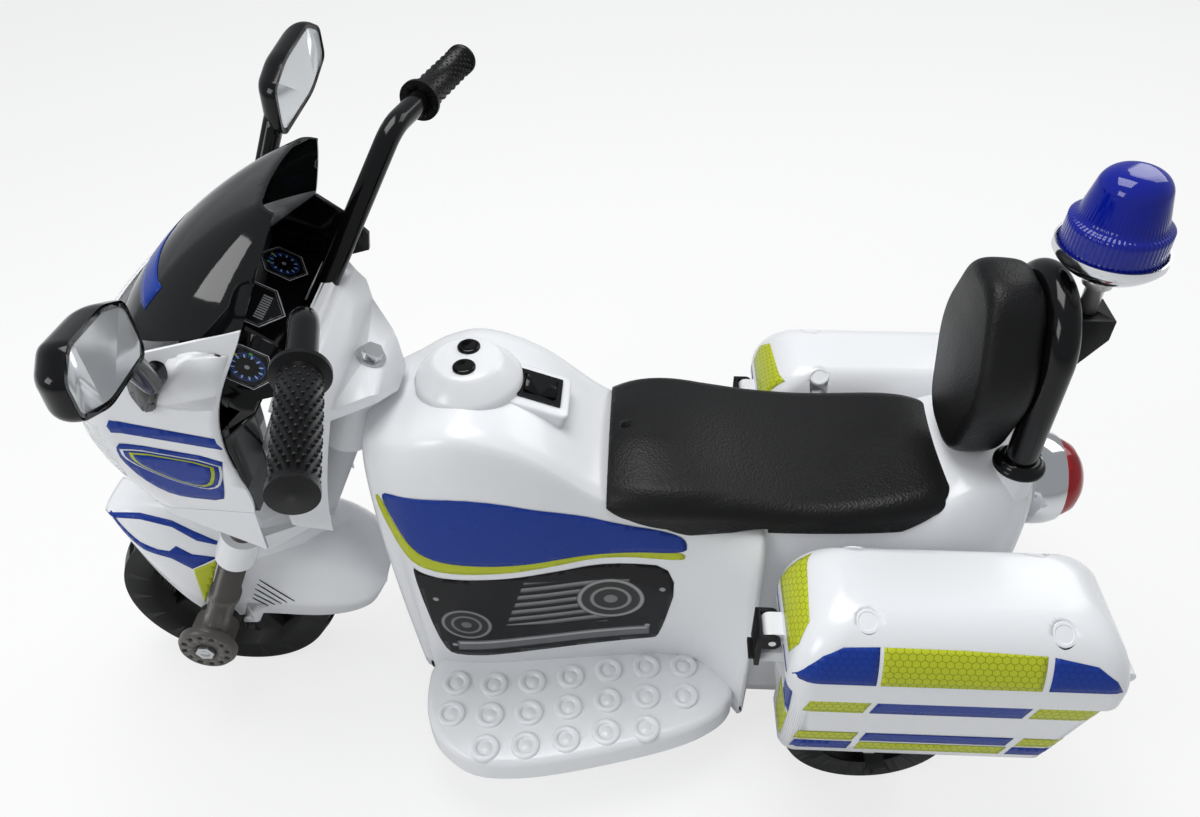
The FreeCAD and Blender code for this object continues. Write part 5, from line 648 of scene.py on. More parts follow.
def draped(name, outline, carriers, material, lay, outward, layer=1, rounds=0, spacing=0.006):
    """Film cut to an outline and pressed on pieces; lay gives the place of a sheet point before pressing."""
    outward = Vector(outward).normalized()
    corners = [Vector(spot) for spot in outline]
    if rounds:
        corners = cornered(corners, rounds)
    rim = []
    for number, here in enumerate(corners):
        following = corners[(number + 1) % len(corners)]
        count = max(1, int((following - here).length / spacing))
        rim += [here.lerp(following, step / count) for step in range(count)]
    low = Vector((min(spot.x for spot in rim), min(spot.y for spot in rim)))
    high = Vector((max(spot.x for spot in rim), max(spot.y for spot in rim)))
    fill = []
    for column in range(1, int((high.x - low.x) / spacing) + 1):
        for row in range(1, int((high.y - low.y) / spacing) + 1):
            spot = low + Vector((column, row)) * spacing
            if encloses(rim, spot):
                fill.append(spot)
    flat, _, faces, _, _, _ = delaunay_2d_cdt(rim + fill, [], [list(range(len(rim)))], 1, 1e-6)
    tree = surface_of(carriers)
    spots = []
    for spot in flat:
        place = lay(spot.x, spot.y)
        hit, normal, _, _ = tree.ray_cast(place + outward * press_reach, -outward)
        if hit is None:
            hit, normal, _, _ = tree.find_nearest(place)
        if normal.dot(outward) < 0:
            normal = -normal
        spots.append(hit + normal * sticker_lift * layer)
    mesh = bpy.data.meshes.new(name)
    mesh.from_pydata(spots, [], faces)
    if sum((face.normal.dot(outward) for face in mesh.polygons)) < 0:
        mesh.flip_normals()
    sheet = mesh.uv_layers.new(name="sheet")
    for loop in mesh.loops:
        sheet.data[loop.index].uv = flat[loop.vertex_index]
    for face in mesh.polygons:
        face.use_smooth = True
    mesh.materials.append(material)
    piece = bpy.data.objects.new(name, mesh)
    film = piece.modifiers.new("film", "SOLIDIFY")
    film.thickness = sticker_film
    film.offset = 1.0
    return settle(piece, carriers[0]["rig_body"], "white_plastic")


def sheet_spot(tree):
    """The place on a sticker's own sheet, in metres."""
    return add(tree, "ShaderNodeUVMap", uv_map="sheet").outputs[0]


def sums(tree, operation, first, second=0.0, third=0.0):
    """One sum of two or three numbers."""
    return add(tree, "ShaderNodeMath", {0: first, 1: second, 2: third}, operation=operation).outputs[0]


def printed(material, tree, colour, rough=0.26):
    """Ends a sticker's tree: the print's colour under a smooth, slightly uneven film."""
    cloud = clouds(tree, 40.0, 3.0)
    gloss = mapped(tree, cloud, 0.0, 1.0, rough * 0.8, rough * 1.2)
    return coated(material, tree, cloud, 0.3, 0.0002, {
        "Base Color": colour, "Roughness": gloss, "Specular IOR Level": 0.14})


def tinted(tree, share, under, over):
    """One colour laid over another where a share is one."""
    mix = add(tree, "ShaderNodeMix", {0: share, 6: under, 7: over}, data_type="RGBA")
    return mix.outputs[2]


def hexed(tree, spot):
    """Distance of a spot from the middle of a six-sided cell, square to the nearest side."""
    spread = vectors(tree, "ABSOLUTE", spot)
    slope = vectors(tree, "DOT_PRODUCT", spread, (0.5, 0.866, 0.0))
    return sums(tree, "MAXIMUM", slope, add(tree, "ShaderNodeSeparateXYZ", {0: spread}).outputs[0])


def vinyl(name, colour, line_depth, cell=0.0062, line_share=0.07):
    """Reflective film: a honeycomb of thin darker lines over one colour."""
    material, tree = blank_material(name)
    scaled = vectors(tree, "SCALE", sheet_spot(tree), Scale=1.0 / cell)
    pitch, half, none = (1.0, 1.732, 1.0), (0.5, 0.866, 0.0), (0.0, 0.0, 0.0)
    cells = []
    for shift in (none, half):
        wrapped = vectors(tree, "WRAP", vectors(tree, "SUBTRACT", scaled, shift), pitch, none)
        cells.append(vectors(tree, "SUBTRACT", wrapped, half))
    nearer = sums(tree, "LESS_THAN", *(vectors(tree, "LENGTH", spot) for spot in cells))
    spot = add(tree, "ShaderNodeMix", {0: nearer, 4: cells[1], 5: cells[0]}, data_type="VECTOR").outputs[1]
    line = mapped(tree, hexed(tree, spot), 0.5 - line_share, 0.5 - line_share / 2)
    darker = tuple(channel * line_depth for channel in colour) + (1.0,)
    return printed(material, tree, tinted(tree, line, colour + (1.0,), darker))


def motor_print():
    """Black panel with grey fins, two ringed covers and a slanted pipe, drawn by distances on the sheet."""
    material, tree = blank_material("motor_print")
    spot = sheet_spot(tree)
    parts = add(tree, "ShaderNodeSeparateXYZ", {0: spot})
    along, up = parts.outputs[0], parts.outputs[1]
    colour = (0.008, 0.008, 0.009, 1.0)

    def between(value, low, high, soft=0.0006):
        return sums(tree, "MULTIPLY", mapped(tree, value, low - soft, low + soft),
                    mapped(tree, value, high + soft, high - soft))

    def both(first, second):
        return sums(tree, "MULTIPLY", first, second)

    fin_low, fin_high, fin_pitch = 0.002, 0.0082, 0.0112
    lean = sums(tree, "MULTIPLY_ADD", up, 0.30, along)
    wave = sums(tree, "WRAP", sums(tree, "MULTIPLY_ADD", along, 0.12, up), fin_pitch, 0.0)
    fin_area = both(between(lean, 0.005, 0.098), between(up, 0.158, 0.226))
    fins = both(between(wave, fin_low, fin_high), fin_area)
    shine = mapped(tree, wave, fin_low, fin_high, 0.05, 0.30)
    silver = add(tree, "ShaderNodeCombineXYZ", {0: shine, 1: shine, 2: shine}).outputs[0]
    colour = tinted(tree, fins, colour, silver)
    pipe = sums(tree, "MULTIPLY_ADD", along, 0.115, up)
    body = both(between(pipe, 0.124, 0.140), between(along, -0.082, 0.10))
    glint = both(between(pipe, 0.1345, 0.1375), between(along, -0.080, 0.098))
    colour = tinted(tree, body, colour, (0.15, 0.15, 0.16, 1.0))
    colour = tinted(tree, glint, colour, (0.42, 0.42, 0.43, 1.0))
    for centre, outer, tone in (((-0.046, 0.196, 0.0), 0.031, 0.16), ((0.088, 0.158, 0.0), 0.024, 0.12)):
        away = vectors(tree, "DISTANCE", spot, centre)
        for low, high, share in ((-1.0, 1.0, 0.22), (0.86, 0.97, 1.9), (0.50, 0.60, 1.5), (-1.0, 0.2, 1.2)):
            grey = tone * share
            colour = tinted(tree, between(away, outer * low, outer * high), colour, (grey, grey, grey, 1.0))
    for rivet in ((0.112, 0.196, 0.0), (0.103, 0.121, 0.0), (-0.092, 0.214, 0.0), (-0.080, 0.150, 0.0)):
        head = between(vectors(tree, "DISTANCE", spot, rivet), -1.0, 0.0026)
        colour = tinted(tree, head, colour, (0.30, 0.30, 0.31, 1.0))
    return printed(material, tree, colour, 0.22)


def plain_print(name, colour):
    """Film of one colour that varies very slightly, as ink does."""
    material, tree = blank_material(name)
    darker = tuple(channel * 0.9 for channel in colour) + (1.0,)
    return printed(material, tree, tinted(tree, clouds(tree, 25.0, 2.0), colour + (1.0,), darker))


blue_print = plain_print("blue_print", royal_blue)
yellow_print = plain_print("yellow_print", lime_yellow)
white_print = plain_print("white_print", (0.80, 0.81, 0.83))
blue_vinyl = vinyl("blue_vinyl", royal_blue, 0.72)
yellow_vinyl = vinyl("yellow_vinyl", lime_yellow, 0.52)
engine_print = motor_print()

side_blue = ((0.149, 0.3165), (0.130, 0.3235), (0.064, 0.331), (-0.012, 0.309), (-0.054, 0.293),
             (-0.095, 0.285), (-0.1105, 0.278), (-0.111, 0.262), (-0.054, 0.261), (-0.003, 0.257),
             (0.048, 0.249), (0.100, 0.250), (0.122, 0.260), (0.137, 0.287))
side_yellow = ((0.153, 0.311), (0.150, 0.3165), (0.138, 0.285), (0.123, 0.2615), (0.100, 0.252),
               (0.048, 0.251), (-0.003, 0.259), (-0.054, 0.263), (-0.1105, 0.264), (-0.1095, 0.2525),
               (-0.045, 0.256), (0.005, 0.248), (0.045, 0.239), (0.100, 0.2355), (0.126, 0.243),
               (0.143, 0.268))
side_panel = ((0.130, 0.2395), (0.121, 0.2325), (0.100, 0.2275), (0.045, 0.231), (0.005, 0.240),
              (-0.045, 0.248), (-0.1075, 0.2445), (-0.0918, 0.1288), (-0.083, 0.124), (-0.040, 0.118),
              (0.097, 0.100), (0.115, 0.1094))
side_films = (("blue", side_blue, blue_print, 2), ("yellow", side_yellow, yellow_print, 1),
              ("panel", side_panel, engine_print, 1))


def against(side, depth=0.1):
    """Lays a sheet's two numbers as X and Z beside the bike."""
    return lambda along, up: Vector((along, side * depth, up))


for word, side in sides:
    for kind, outline, film, layer in side_films:
        draped(f"side_{kind}_{word}", outline, [shell_front], film, against(side), (0, side, 0), layer, 2)

# Accelerator pedal: a black ribbed treadle on a pin between two ears on the right footboard.
# It is moulded with the same grain as the base tray.
skinned(grained_black, "accelerator_pedal")
skinned(zinc, "pedal_pin")

# Seat: a wide black shell with a pebbled top, held by one screw near its front edge.
# The pebbles are about two millimetres across. Its front is flared and its skirt is drawn up a little.
seat_grain = plastic("seat_grain", (0.006, 0.006, 0.0065), 0.42, "cells", 0.0021, 0.0004, shade=0.15,
                     **{"Specular IOR Level": 0.22})
skinned(seat_grain, "seat")
skinned(zinc, "body_screws")
seat_front, seat_flare_run = -0.042, 0.13
seat_flare_from, seat_flare_to = 0.018, 0.056
seat_flare_out, seat_flare_drop = 0.021, 0.007
seat_waist, seat_skirt_share = 0.325, 0.74


def risen(value, low, high):
    """Smooth step from nought to one between two values."""
    share = max(0.0, min(1.0, (value - low) / (high - low)))
    return share * share * (3 - 2 * share)


for vertex in skins["seat"].data.vertices:
    if vertex.co.z < seat_waist:
        vertex.co.z = seat_waist - (seat_waist - vertex.co.z) * seat_skirt_share
    near_front = 1 - risen(seat_front - vertex.co.x, 0.0, seat_flare_run)
    flare = near_front * risen(abs(vertex.co.y), seat_flare_from, seat_flare_to)
    vertex.co.y += math.copysign(seat_flare_out * flare, vertex.co.y)
    vertex.co.z -= seat_flare_drop * flare

# Buttons and switch: two round black buttons on the dome and a rocker in a black bezel on the plinth.
# Both are smooth, shiny mouldings.
gloss_black = plastic("gloss_black", (0.003, 0.003, 0.0035), 0.12, "peel", 0.005, 0.00004, shade=0.1,
                      **{"Specular IOR Level": 0.3})
skinned(gloss_black, "button_left", "button_right", "rocker_switch", "switch_bezel")

# Backrest: a bent black tube stands in two collars on the tail and carries a padded plate.
# The tube and collars are shiny, the pad has the seat's pebbles.
skinned(gloss_black, "backrest_hoop", "hoop_collars")
skinned(seat_grain, "backrest_pad")

# Beacon: a black bracket on the hoop holds a plated pole, a dish and a blue lens over a clear lamp.
# Fine flutes run up the lens and fade out below its smooth top; the lens colour is painted lighter and darker
# along them, painted light and shade on the ribs.
plated = plastic("plated", (0.66, 0.67, 0.69), 0.09, "peel", 0.02, 0.00006, metal=1.0, shade=0.03)
lamp_clear = plastic("lamp_clear", (0.85, 0.87, 0.88), 0.08, "peel", 0.01, 0.00004, shade=0.02,
                     **{"Transmission Weight": 0.9, "IOR": 1.46})


def fluted_lens(name, colour, centre, ribs):
    """Coloured lens with ribs that run up it round a standing axis and fade out; painted light and shade
    follow the ribs.
    """
    material, tree = blank_material(name)
    parts = add(tree, "ShaderNodeSeparateXYZ", {0: vectors(tree, "SUBTRACT", own_place(tree), centre)})
    angle = sums(tree, "ARCTAN2", parts.outputs[1], parts.outputs[0])
    fade = mapped(tree, parts.outputs[2], 0.045, 0.02)
    wave = sums(tree, "MULTIPLY", sums(tree, "SINE", sums(tree, "MULTIPLY", angle, float(ribs))), fade)
    # The colour rises and falls with the ribs: painted light and shade on the flutes.
    tint = vectors(tree, "SCALE", colour, Scale=mapped(tree, wave, -1.0, 1.0, 0.78, 1.22))
    return coated(material, tree, wave, 0.35, 0.0005, {
        "Base Color": tint, "Roughness": 0.06, "Transmission Weight": 0.35, "IOR": 1.46})


beacon_foot, beacon_ribs = (behind(0.563), 0.0, 0.521), 64
blue_flutes = fluted_lens("blue_flutes", (0.003, 0.014, 0.36), beacon_foot, beacon_ribs)
skinned(grained_black, "beacon_bracket")
pole_plate = plastic("pole_plate", (0.78, 0.77, 0.75), 0.34, "peel", 0.006, 0.00004, metal=0.75, shade=0.05)
skinned(pole_plate, "beacon_pole")
skinned(plated, "beacon_dish")
skinned(lamp_clear, "beacon_lamp")
skinned(blue_flutes, "beacon_lens")

# Tail light: a plated ring under the tail with a red domed lens.
# The lens is half clear and very smooth.
red_lens = plastic("red_lens", (0.5, 0.008, 0.012), 0.1, "peel", 0.006, 0.00006, shade=0.06,
                   **{"Transmission Weight": 0.5, "IOR": 1.46})
skinned(plated, "tail_light_housing")
tail_profile = ((0.0345, -0.010), (0.0355, 0.0), (0.0345, 0.008), (0.0305, 0.0155), (0.0225, 0.0215),
                (0.0115, 0.0250), (0.0, 0.0260))
tail_place = (-0.4305, 0.0, 0.288)
tail_dome = set_at(turned("tail_dome", tail_profile, red_lens, crease=70.0), tail_place, (-1, 0, 0))
settle(tail_dome, "chassis", "red_lens", "tail_light_lens")

# Panniers: white boxes beside the tail with hinged lids, black latches and rows of reflective film.
# Low round pads cover the lids' screw sockets. The lettering between the rows is left off.
skinned(gloss_white, "pannier_box_left", "pannier_box_right")
skinned(gloss_white, "pannier_lid_left", "pannier_lid_right", crease=20.0)
skinned(grained_black, "pannier_latch_left", "pannier_latch_right")
skinned(zinc, "pannier_hinge_pins")
film_lean = 0.003 / 0.013
fine_spacing = 0.005
blue_between = (yellow_vinyl, blue_vinyl, yellow_vinyl)
yellow_between = (blue_vinyl, yellow_vinyl, blue_vinyl)
box_rows = (
    (0.2205, 0.2405, blue_between, ((-0.201, -0.248), (-0.253, -0.371), (-0.376, -0.428))),
    (0.172, 0.186, blue_between, ((-0.200, -0.248), (-0.254, -0.372), (-0.380, -0.424))),
    (0.1565, 0.1695, yellow_between, ((-0.199, -0.246), (-0.252, -0.371), (-0.376, -0.417))),
    (0.2432, 0.2446, yellow_between, ((-0.202, -0.262), (-0.29, -0.372), (-0.378, -0.430))))
lid_films = (
    (blue_vinyl, ((-0.188, 0.2625), (-0.249, 0.2625), (-0.249, 0.297), (-0.222, 0.296), (-0.208, 0.288),
                  (-0.198, 0.277))),
    (yellow_vinyl, ((-0.252, 0.2625), (-0.371, 0.2625), (-0.371, 0.294), (-0.31, 0.2965), (-0.252, 0.297))),
    (blue_vinyl, ((-0.376, 0.2625), (-0.431, 0.2625), (-0.424, 0.274), (-0.408, 0.287), (-0.376, 0.2935))))
lid_front_film = ((0.108, 0.272), (0.180, 0.272), (0.184, 0.290), (0.172, 0.305), (0.108, 0.311))
lid_front_lines = ((0.106, 0.132), (0.163, 0.188))
lid_line_low, lid_line_high = 0.2535, 0.2562
lid_boss_places = ((-0.2403, 0.1031), (-0.3830, 0.1075), (-0.2403, 0.1786), (-0.3830, 0.1830))
lid_boss_reach, lid_boss_above, lid_boss_upright = 0.0125, 0.4, 0.3
eighths = [math.radians(45 * number) for number in range(8)]
lid_boss_profile = ((0.0098, -0.004), (0.0098, -0.0002), (0.0092, 0.0008), (0.0072, 0.0010), (0.0066, 0.0004),
                    (0.0, 0.0006))
box_front_blue = ((0.172, 0.204), (0.192, 0.204), (0.194, 0.243), (0.166, 0.243))
box_front_yellow = ((0.160, 0.160), (0.186, 0.160), (0.191, 0.200), (0.156, 0.200))
box_face_x, box_face_y, lid_face_y = -0.175, 0.2, 0.19


def ahead_of(side):
    """Lays a sheet's two numbers as the distance from the middle and Z before a pannier."""
    return lambda across, up: Vector((box_face_x, side * across, up))


def lid_boss(name, tree, spot):
    """A low round pad over one of the lid's screw sockets, level with the moulding round it."""
    hits = []
    facing = Vector()
    for turn in eighths:
        start = spot + Vector((math.cos(turn), math.sin(turn), 0)) * lid_boss_reach
        hit, normal, _, _ = tree.ray_cast(start, Vector((0, 0, -1)))
        if hit is not None and normal.z > lid_boss_upright:
            hits.append(hit)
            facing += normal
    middle = sum(hits, Vector()) / len(hits)
    return set_at(turned(name, lid_boss_profile, gloss_white), middle, facing)


for word, side in sides:
    box = [skins["pannier_box_" + word]]
    lid = [skins["pannier_lid_" + word]]
    for number, (x, across) in enumerate(lid_boss_places):
        spot = Vector((x, side * across, lid_boss_above))
        pad = lid_boss(f"lid_boss_{word}_{number}", surface_of(lid), spot)
        settle(pad, "pannier_lid_" + word, "white_plastic")
    for row, (low, high, films, blocks) in enumerate(box_rows):
        lean = film_lean * (high - low)
        for number, (film, (front, rear)) in enumerate(zip(films, blocks)):
            outline = ((front, low), (rear, low), (rear - lean, high), (front - lean, high))
            draped(f"box_film_{word}_{row}_{number}", outline, box, film, against(side, box_face_y),
                   (0, side, 0))
    for number, (film, outline) in enumerate(lid_films):
        draped(f"lid_film_{word}_{number}", outline, lid, film, against(side, lid_face_y), (0, side, 0.35),
               spacing=fine_spacing)
    draped("lid_front_film_" + word, lid_front_film, lid, yellow_vinyl, ahead_of(side), (1, 0, 0.3),
           spacing=fine_spacing)
    for number, (inner, outer) in enumerate(lid_front_lines):
        outline = ((inner, lid_line_low), (outer, lid_line_low), (outer, lid_line_high),
                   (inner, lid_line_high))
        draped(f"lid_front_line_{word}_{number}", outline, lid, blue_vinyl, ahead_of(side), (1, 0, 0))
    draped("box_front_blue_" + word, box_front_blue, box, blue_vinyl, ahead_of(side), (1, 0, 0))
    draped("box_front_yellow_" + word, box_front_yellow, box, yellow_vinyl, ahead_of(side), (1, 0, 0))

# Front wheel and fork: the wheel turns on a zinc axle between two grey fork legs with round end caps.
# The legs are painted plastic with a slight sheen; a white yoke joins them at the top.
fork_grey = plastic("fork_grey", (0.085, 0.078, 0.070), 0.34, "peel", 0.002, 0.00004, shade=0.08)
skinned(tread_black, "front_wheel")
skinned(zinc, "front_axle", "front_axle_nuts")
skinned(fork_grey, "fork_leg_left", "fork_leg_right", "axle_caps")
skinned(gloss_white, "fork_yoke")

# Mudguard: a deep white arch over the front wheel, with a beak, side skirts, five louvre slits and blue and
# yellow stickers on its shoulders. The slits are not cut: they are black film laid on the surface, painted
# shade in place of openings.
# A tab with a screw stands below each row of slits.
wheel_x, wheel_z = 0.3467, 0.108
guard_knots = (0.0, 0.14, 0.30, 0.50, 0.75, 0.89, 1.0)
guard_top_x = (-0.171, -0.155, -0.122, -0.052, 0.028, 0.063, 0.0865)
guard_top_z = (0.044, 0.074, 0.101, 0.117, 0.128, 0.131, 0.1265)
guard_low_x = (-0.171, -0.152, -0.112, -0.050, 0.010, 0.048, 0.0850)
guard_low_z = (0.040, 0.016, 0.006, 0.006, 0.006, 0.054, 0.1225)
guard_halves = (0.028, 0.040, 0.0465, 0.047, 0.047, 0.040, 0.022)
guard_tables = (guard_top_x, guard_top_z, guard_low_x, guard_low_z, guard_halves)
guard_steps, guard_ring = 56, 33
guard_square = 2.0 / 3.2
guard_wall = 0.0025
guard_rows = []
for step in range(guard_steps + 1):
    share = step / guard_steps
    top_x, top_z, low_x, low_z, half = (eased(guard_knots, table, share) for table in guard_tables)
    row = []
    for number in range(guard_ring):
        turn = math.pi * number / (guard_ring - 1)
        across = math.copysign(abs(math.cos(turn)) ** guard_square, math.cos(turn))
        rise = math.sin(turn) ** guard_square if 0 < number < guard_ring - 1 else 0.0
        row.append(Vector((wheel_x + low_x + (top_x - low_x) * rise, half * across,
                           wheel_z + low_z + (top_z - low_z) * rise)))
    guard_rows.append(row)
guard = sheeted("mudguard_arch", guard_rows, gloss_white, crease=70.0, thick=guard_wall)
settle(guard, "steering", "white_plastic", "front_mudguard")
# The louvre slits are black film on the guard: painted shade where openings would be, not cut holes.
painted_slit_shade = plain_print("painted_slit_shade", (0.01, 0.01, 0.011))
guard_slits = (((0.294, 0.165), (0.266, 0.135)), ((0.2975, 0.159), (0.274, 0.1325)),
               ((0.301, 0.152), (0.280, 0.130)), ((0.304, 0.144), (0.287, 0.128)),
               ((0.307, 0.138), (0.294, 0.126)))
slit_half = 0.0009
guard_films = (
    ("blue_edge", blue_print, ((0.431, 0.236), (0.418, 0.222), (0.400, 0.207), (0.376, 0.197), (0.366, 0.205),
                               (0.352, 0.196), (0.372, 0.190), (0.399, 0.198), (0.418, 0.212))),
    ("blue_wedge", blue_print, ((0.388, 0.201), (0.328, 0.193), (0.356, 0.178))),
    ("yellow_wedge", yellow_print, ((0.355, 0.177), (0.329, 0.190), (0.341, 0.160), (0.357, 0.128))))
guard_band = ((0.4300, 0.0300), (0.3976, 0.0300), (0.3677, 0.0361), (0.3466, 0.0454), (0.3233, 0.0546),
              (0.3236, 0.0576), (0.3454, 0.0538), (0.3673, 0.0423), (0.3961, 0.0362), (0.4290, 0.0345))
guard_face_y = 0.05
slope_out, slope_down, slope_top = 0.8, 0.6, 0.25
tab_outline = ((0.3137, 0.1300), (0.2952, 0.1278), (0.3085, 0.1007), (0.3255, 0.0998))
tab_walls = (0.0445, 0.0495)
tab_screw_place = Vector((0.3165, 0.0494, 0.111))
screw_profile = ((0.0, 0.0024), (0.0028, 0.0020), (0.0040, 0.0006), (0.0041, -0.002), (0.0, -0.002))


def over_guard(side):
    """Lays a sheet's two numbers as X and the distance outwards down a slope over the guard."""
    return lambda along, down: Vector((along, side * slope_out * down, slope_top - slope_down * down))


def hulled(name, spots, material, bevel=0.0012):
    """The smallest solid round some places, with rolled edges."""
    work = bmesh.new()
    for spot in spots:
        work.verts.new(spot)
    bmesh.ops.convex_hull(work, input=work.verts)
    loose = [vertex for vertex in work.verts if not vertex.link_faces]
    bmesh.ops.delete(work, geom=loose, context="VERTS")
    bmesh.ops.bevel(work, geom=list(work.edges), offset=bevel, segments=2, affect="EDGES", clamp_overlap=True)
    bmesh.ops.recalc_face_normals(work, faces=work.faces)
    for face in work.faces:
        face.smooth = True
    mesh = bpy.data.meshes.new(name)
    work.to_mesh(mesh)
    work.free()
    mesh.materials.append(material)
    return bpy.data.objects.new(name, mesh)


for word, side in sides:
    # Each slit is a thin strip of black film, painted shade rather than an opening.
    for number, (front, rear) in enumerate(guard_slits):
        front, rear = Vector(front), Vector(rear)
        along = (front - rear).normalized()
        over = Vector((-along.y, along.x)) * slit_half
        outline = (front + over, rear + over, rear - over, front - over)
        draped(f"guard_slit_{word}_{number}", outline, [guard], painted_slit_shade, against(side, guard_face_y),
               (0, side, 0), rounds=1)
    for kind, film, outline in guard_films:
        draped(f"guard_{kind}_{word}", outline, [guard], film, against(side, guard_face_y), (0, side, 0),
               spacing=fine_spacing)
    draped("guard_band_" + word, guard_band, [guard], blue_print, over_guard(side),
           (0, slope_down * side, slope_out), spacing=fine_spacing)
    tab_spots = [(along, side * across, up) for along, up in tab_outline for across in tab_walls]
    settle(hulled("guard_tab_" + word, tab_spots, gloss_white), "steering", "white_plastic")
    tab_screw = turned("tab_screw_" + word, screw_profile, zinc, count=24)
    screw_at = (tab_screw_place.x, side * tab_screw_place.y, tab_screw_place.z)
    settle(set_at(tab_screw, screw_at, (0, side, 0)), "steering", "zinc_steel")

# Steering head: a white tongue over the neck, held by one zinc bolt with its washer and nut.
# It carries the bars and a spine into the fairing.
skinned(gloss_white, "steering_head")
skinned(zinc, "steering_bolt", "steering_washer", "steering_nut")

# Handlebars and grips: bent black tubes with soft black grips, whose barrels are covered with rows of
# small raised pips.
skinned(gloss_black, "handlebar_left", "handlebar_right")
grip_black = plastic("grip_black", (0.004, 0.004, 0.0045), 0.3, "peel", 0.002, 0.00006, shade=0.12,
                     **{"Specular IOR Level": 0.25})
skinned(grip_black, "grips")
pip_profile = ((0.0014, -0.0005), (0.0013, 0.0003), (0.0009, 0.0007), (0.0, 0.0009))
pip_columns, pip_rows = 16, 15
pip_pitch = 0.0055
pip_run = 0.084
grip_radius = 0.0134
bar_places = ((-0.011, 0.135, 0.139), (-0.045, 0.281, 0.137))
pip_places = []
pip_facings = []
for _, side in sides:
    bar_bend, bar_end = (bolt + Vector((ahead, side * across, up)) for ahead, across, up in bar_places)
    along = (bar_end - bar_bend).normalized()
    start = bar_end - along * pip_run
    over = along.cross(Vector((0.0, 0.0, 1.0))).normalized()
    beside = along.cross(over)
    for row in range(pip_rows):
        for column in range(pip_columns):
            turn = 2 * math.pi * (column + 0.5 * (row % 2)) / pip_columns
            out = over * math.cos(turn) + beside * math.sin(turn)
            pip_places.append(start + along * (pip_pitch * row) + out * grip_radius)
            pip_facings.append(out)
pip_unit = turned("pip_unit", pip_profile, grip_black, count=8, crease=80.0)
settle(repeated("grip_pips", pip_unit, pip_places, pip_facings, grip_black), "steering", "black_matte")

# Fairing: the white nose with the wrap-round lamp lens and its reflector, and a plated collar below.
# Its cheeks swell behind the mirrors' feet and carry a blue stripe and a blue, yellow and white pill.
silvered = plastic("silvered", (0.86, 0.88, 0.88), 0.04, "peel", 0.05, 0.00003, metal=1.0, shade=0.01)
skinned(gloss_white, "fairing")
skinned(silvered, "headlight_reflector")
skinned(lamp_clear, "headlight_lens")
skinned(plated, "lower_trim")
cheek = [skins["fairing"]]
cheek_y = 0.105
cheek_stripe = ((0.326, 0.4245), (0.2435, 0.4095), (0.2465, 0.3985), (0.322, 0.411), (0.329, 0.4115),
                (0.330, 0.418))
cheek_block = ((0.326, 0.401), (0.2497, 0.387), (0.255, 0.372), (0.262, 0.345), (0.268, 0.329),
               (0.300, 0.331), (0.314, 0.338), (0.326, 0.358), (0.333, 0.380), (0.332, 0.394))
cheek_pill = ((0.329, 0.396), (0.253, 0.382), (0.256, 0.366), (0.264, 0.350), (0.276, 0.345), (0.300, 0.355),
              (0.322, 0.372), (0.330, 0.384))
pill_middle = Vector((0.292, 0.3715))
pill_layers = ((1.0, white_print), (0.94, blue_print), (0.84, yellow_print), (0.76, blue_print))
cowl_outline = ((0.2755, 0.481), (0.246, 0.490), (0.214, 0.491), (0.231, 0.455), (0.240, 0.436),
                (0.263, 0.4345), (0.293, 0.442))
cowl_rises = (0.0065, 0.0050, 0.0008, 0.0008, 0.0008, 0.0012, 0.0050)
cowl_middle = Vector((0.254, 0.463))
cowl_root, cowl_top_share = -0.004, 0.93
for word, side in sides:
    cowl_spots = []
    for spot, rise in zip(cowl_outline, cowl_rises):
        for share, lift in ((1.0, cowl_root), (cowl_top_share, rise)):
            along, up = cowl_middle + (Vector(spot) - cowl_middle) * share
            start = Vector((along, side * press_reach, up))
            hit = surface_of(cheek).ray_cast(start, Vector((0, -side, 0)))[0]
            if hit is not None:
                cowl_spots.append(hit + Vector((0.0, side * lift, 0.0)))
    settle(hulled("fairing_cowl_" + word, cowl_spots, gloss_white, bevel=0.002), "steering", "white_plastic")
for word, side in sides:
    lay, outward = against(side, cheek_y), (0, side, 0)
    draped("cheek_stripe_" + word, cheek_stripe, cheek, blue_print, lay, outward)
    draped("cheek_block_" + word, cheek_block, cheek, blue_print, lay, outward, rounds=1)
    for number, (share, film) in enumerate(pill_layers):
        outline = [pill_middle + (Vector(spot) - pill_middle) * share for spot in cheek_pill]
        draped(f"cheek_pill_{word}_{number}", outline, cheek, film, lay, outward, number + 2, 1)

# Dashboard: a shiny black panel under the screen, with two printed dials and a display between them.
# Thin white six-sided lines frame them; marks are plain ticks and bars without words.
skinned(gloss_black, "dashboard")
dash_middle = bolt + Vector((0.087, 0.0, 0.0495))
dash_across = Vector((0.0, -1.0, 0.0))
dash_up = Vector((0.869, 0.0, 0.494))
dash_out = Vector((-0.494, 0.0, 0.869))
wing_y = 0.0955


def on_dash(across, up):
    """Lays a sheet's two numbers on the sloping dash."""
    return dash_middle + dash_across * across + dash_up * up


